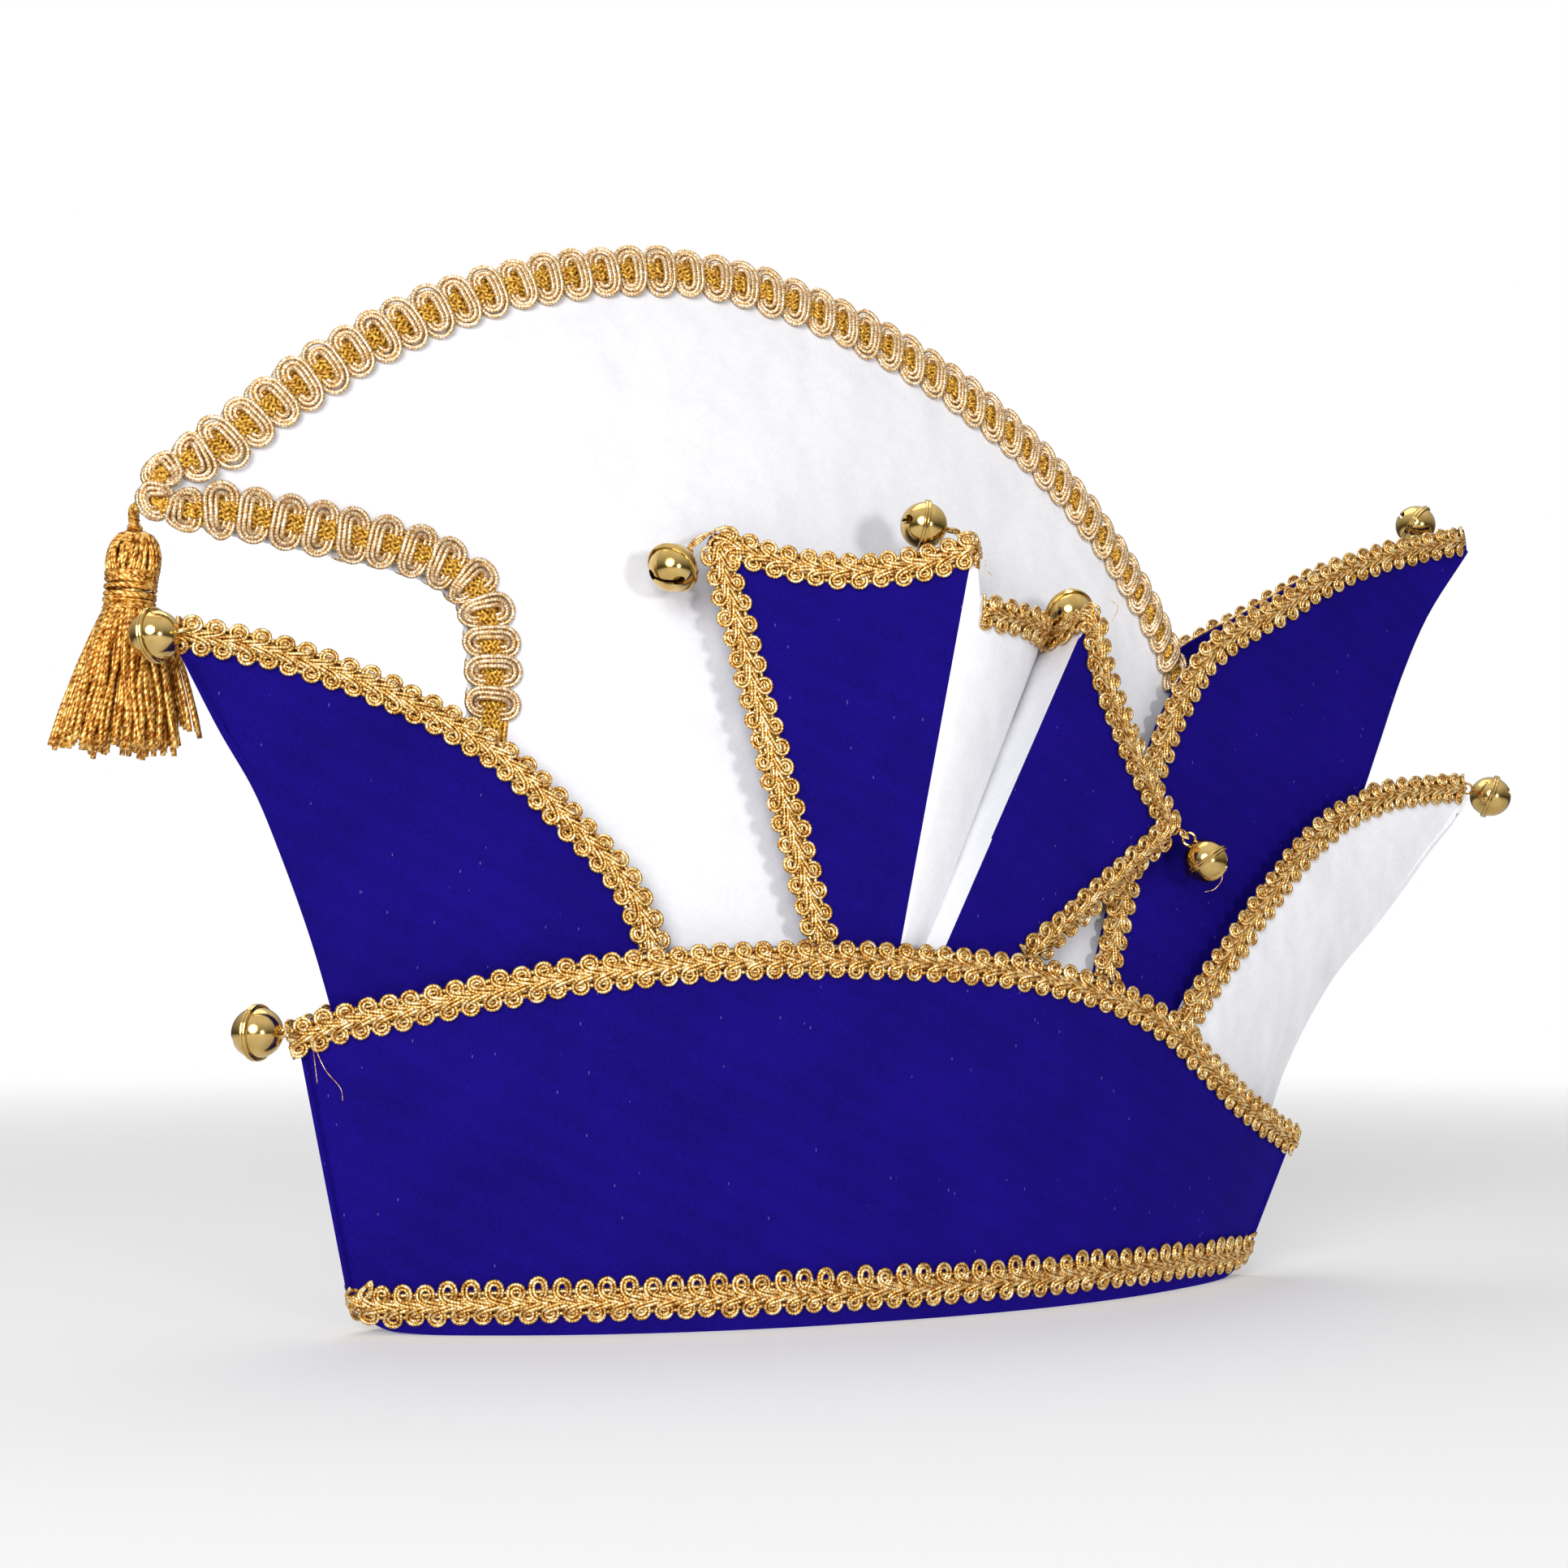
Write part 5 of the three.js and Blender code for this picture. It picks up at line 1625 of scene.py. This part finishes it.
def hanging_cord():
    """The two twisted plies that the tassel hangs on, with a knot at its head."""
    cord = Tubes()
    along = np.linspace(0, 1, 60)
    line = curve_through(TASSEL_CORD)(along)
    for phase in (0.0, math.pi):
        twist = along * 2 * math.pi * HANGING_TURNS + phase
        round_line = np.stack([np.cos(twist), 0.4 * np.sin(twist), 0.9 * np.sin(twist)], 1)
        points = placed(line + round_line * HANGING_PLY_OFFSET)
        cord.add(points, HANGING_PLY_RADIUS * MM, (0.1, 1, 0.2))
    knot = np.linspace(0, 4 * math.pi, 40)
    ring = np.stack([KNOT_RADIUS * np.cos(knot), KNOT_RADIUS * np.sin(knot), 0.35 * np.sin(knot * 0.5)], 1)
    cord.add(placed(line[-8] + ring), KNOT_CORD_RADIUS * MM, (0, 0, 1))
    return cord


class CAP_OT_tassel(bpy.types.Operator):
    """Makes the tassel with its head, its wound neck, its hanging cords and the cord that it hangs on"""

    bl_idname = "cap.tassel"
    bl_label = "Tassel"

    def execute(self, context):
        draw = random.Random(SEED + 40)
        yarn = material_named(context, TASSEL_YARN)
        tubes = Tubes()
        tassel_head(tubes, draw)
        tassel_skirt(tubes, draw, context.scene.cap_sizes.tassel_cord)
        tubes.piece("tassel_yarn", yarn, "tassel_thread", ["tassel"])
        hanging_cord().piece("tassel_hanging_cord", yarn, "tassel_thread", ["tassel_cord"])
        return {"FINISHED"}


# threads on each bell, their radius, and that of a loose end
BELL_THREADS = 3
THREAD_RADIUS = 0.36
LOOSE_END_RADIUS = 0.13
# how far above the bell's shell they pass through its loop
LOOP_EYE = 2.2


class CAP_OT_threads(bpy.types.Operator):
    """Makes the sewing threads that tie the bells on, and the loose ends of the braid"""

    bl_idname = "cap.threads"
    bl_label = "Threads"

    def execute(self, context):
        draw = random.Random(SEED + 60)
        tubes = Tubes()
        radius = context.scene.cap_sizes.bell_radius / MM
        tips = dict(BELL_TIPS)
        for name, centre, to, _ in bell_rows():
            key = name.removesuffix("_near").removesuffix("_far")
            tip = np.asarray(tips[key], float) * (1, -1 if name.endswith("_far") else 1, 1)
            towards = np.asarray(to, float) / np.linalg.norm(to)
            loop = np.asarray(centre, float) + towards * (radius + LOOP_EYE)
            for _ in range(BELL_THREADS):
                bend = (loop + tip) / 2 + np.array([draw.uniform(-1, 1) for _ in range(3)])
                line = curve_through([loop - towards * 0.8, bend, tip])(np.linspace(0, 1, 10))
                tubes.add(placed(line), THREAD_RADIUS * MM, (0.3, 0.5, 0.8), sides=4)
        for rows in LOOSE_ENDS:
            line = curve_through(rows)(np.linspace(0, 1, 24))
            tubes.add(placed(line), LOOSE_END_RADIUS * MM, (0.3, 0.5, 0.8), sides=4)
        tubes.piece("sewing_threads", material_named(context, GOLD_CORD), "gold_braid", [])
        return {"FINISHED"}


# name, place in metres, width in metres and power in watts of each round light, and the place that they face
LIGHTS = (
    ("wide_light", (-0.9, -1.25, 0.55), 1.0, 18.0),
    ("small_light", (0.14, -1.5, 0.15), 0.22, 6.5),
    ("top_light", (-0.1, 0.5, 1.7), 1.4, 8.0),
)
LIT_PLACE = (0, 0, 0.14)
FLOOR_RADIUS = 6.0
# lens and sensor in millimetres, place in metres, and degrees to the right of +Y and upwards
CAMERA_LENS = 46.88
CAMERA_SENSOR = 36.0
CAMERA_PLACE = (-0.26215, -0.5395, 0.0900)
CAMERA_HEADING = 22.95
CAMERA_RISE = 5.59


class CAP_OT_stage(bpy.types.Operator):
    """Makes the floor, the lights, the surroundings and the camera"""

    bl_idname = "cap.stage"
    bl_label = "Stage"

    def execute(self, context):
        deselect_all()
        bpy.ops.mesh.primitive_circle_add(
            vertices=96, radius=FLOOR_RADIUS, fill_type="NGON", location=(0, 0, 0)
        )
        floor = context.object
        floor.name = "floor"
        floor.data.materials.append(pale_floor(context.scene.cap_colours))
        surroundings(context)
        context.scene.view_settings.view_transform = "Standard"
        for name, place, size, power in LIGHTS:
            data = bpy.data.lights.new(name, "AREA")
            data.shape = "DISK"
            data.size = size
            data.energy = power
            lamp = bpy.data.objects.new(name, data)
            lamp.location = place
            towards = Vector(LIT_PLACE) - Vector(place)
            lamp.rotation_euler = towards.to_track_quat("-Z", "Y").to_euler()
            context.scene.collection.objects.link(lamp)
        data = bpy.data.cameras.new("camera")
        data.lens = CAMERA_LENS
        data.sensor_width = CAMERA_SENSOR
        camera = bpy.data.objects.new("camera", data)
        camera.location = CAMERA_PLACE
        heading = math.radians(CAMERA_HEADING)
        rise = math.radians(CAMERA_RISE)
        level = math.cos(rise)
        look = Vector((math.sin(heading) * level, math.cos(heading) * level, math.sin(rise)))
        camera.rotation_euler = look.to_track_quat("-Z", "Y").to_euler()
        context.scene.collection.objects.link(camera)
        context.scene.camera = camera
        return {"FINISHED"}


def pale_floor(colours):
    """A matt paper ground that fades out, so that no edge or horizon shows."""
    material, tree, shader = new_material(
        "matt_paper_ground",
        Base_Color=tuple(colours.floor),
        Roughness=0.9,
        Specular_IOR_Level=0.1,
        Emission_Color=linear("#ffffff"),
        Emission_Strength=0.22,
    )
    place = node(tree, "ShaderNodeTexCoord")
    distance = node(tree, "ShaderNodeVectorMath", {0: (place, "Object")}, operation="LENGTH")
    fade = node(
        tree,
        "ShaderNodeMapRange",
        {"Value": (distance, "Value"), "From Min": 0.35, "From Max": 1.6, "To Min": 1.0, "To Max": 0.0},
        interpolation_type="SMOOTHSTEP",
    )
    connect(tree, shader, {"Alpha": (fade, "Result")})
    return material


def surroundings(context):
    """A soft studio: pale to the eye, and for light brighter above than below."""
    world = bpy.data.worlds.new("studio")
    context.scene.world = world
    world.use_nodes = True
    tree = world.node_tree
    background = tree.nodes["Background"]
    place = node(tree, "ShaderNodeTexCoord")
    split = node(tree, "ShaderNodeSeparateXYZ", {"Vector": (place, "Generated")})
    path = node(tree, "ShaderNodeLightPath")
    lighting = node(tree, "ShaderNodeValToRGB", {"Fac": (split, "Z")})
    stops = lighting.color_ramp.elements
    stops[0].position = 0.0
    stops[0].color = linear("#6a6a6a")
    stops[1].position = 0.8
    stops[1].color = linear("#878787")
    # What shines in the bells and the foil: a dark room below the lamps
    room = node(tree, "ShaderNodeValToRGB", {"Fac": (split, "Z")})
    stops = room.color_ramp.elements
    stops[0].position = 0.0
    stops[0].color = linear("#524d44")
    stops[1].position = 0.85
    stops[1].color = linear("#ffffff")
    lit = node(
        tree,
        "ShaderNodeMix",
        {"Factor": (path, "Is Glossy Ray"), MIX_FROM: (lighting, "Color"), MIX_TO: (room, "Color")},
        data_type="RGBA",
    )
    seen = node(
        tree,
        "ShaderNodeMix",
        {"Factor": (path, "Is Camera Ray"), MIX_FROM: (lit, MIXED), MIX_TO: linear("#ffffff")},
        data_type="RGBA",
    )
    connect(tree, background, {"Color": (seen, MIXED), "Strength": 1.0})


class CAP_PT_pieces(bpy.types.Panel):
    """Lists the pieces of the cap"""

    bl_idname = "CAP_PT_pieces"
    bl_label = "Carnival Cap"
    bl_space_type = "VIEW_3D"
    bl_region_type = "UI"
    bl_category = "Cap"

    def draw(self, context):
        for group in (context.scene.cap_sizes, context.scene.cap_colours):
            for name in group.__annotations__:
                self.layout.prop(group, name)
        for piece in PIECES:
            self.layout.operator(piece.bl_idname)


PIECES = (
    CAP_OT_stage,
    CAP_OT_band,
    CAP_OT_crown,
    CAP_OT_horns,
    CAP_OT_fans,
    CAP_OT_narrow_braids,
    CAP_OT_wide_braids,
    CAP_OT_bells,
    CAP_OT_tassel,
    CAP_OT_threads,
)
CLASSES = (CapSizes, CapColours, *PIECES, CAP_PT_pieces)


def register():
    for item in CLASSES:
        bpy.utils.register_class(item)
    bpy.types.Scene.cap_sizes = PointerProperty(type=CapSizes)
    bpy.types.Scene.cap_colours = PointerProperty(type=CapColours)


def unregister():
    del bpy.types.Scene.cap_colours
    del bpy.types.Scene.cap_sizes
    for item in reversed(CLASSES):
        bpy.utils.unregister_class(item)


def main():
    """Makes every piece in order."""
    register()
    for piece in PIECES:
        group, name = piece.bl_idname.split(".")
        getattr(getattr(bpy.ops, group), name)()


if __name__ == "__main__":
    main()
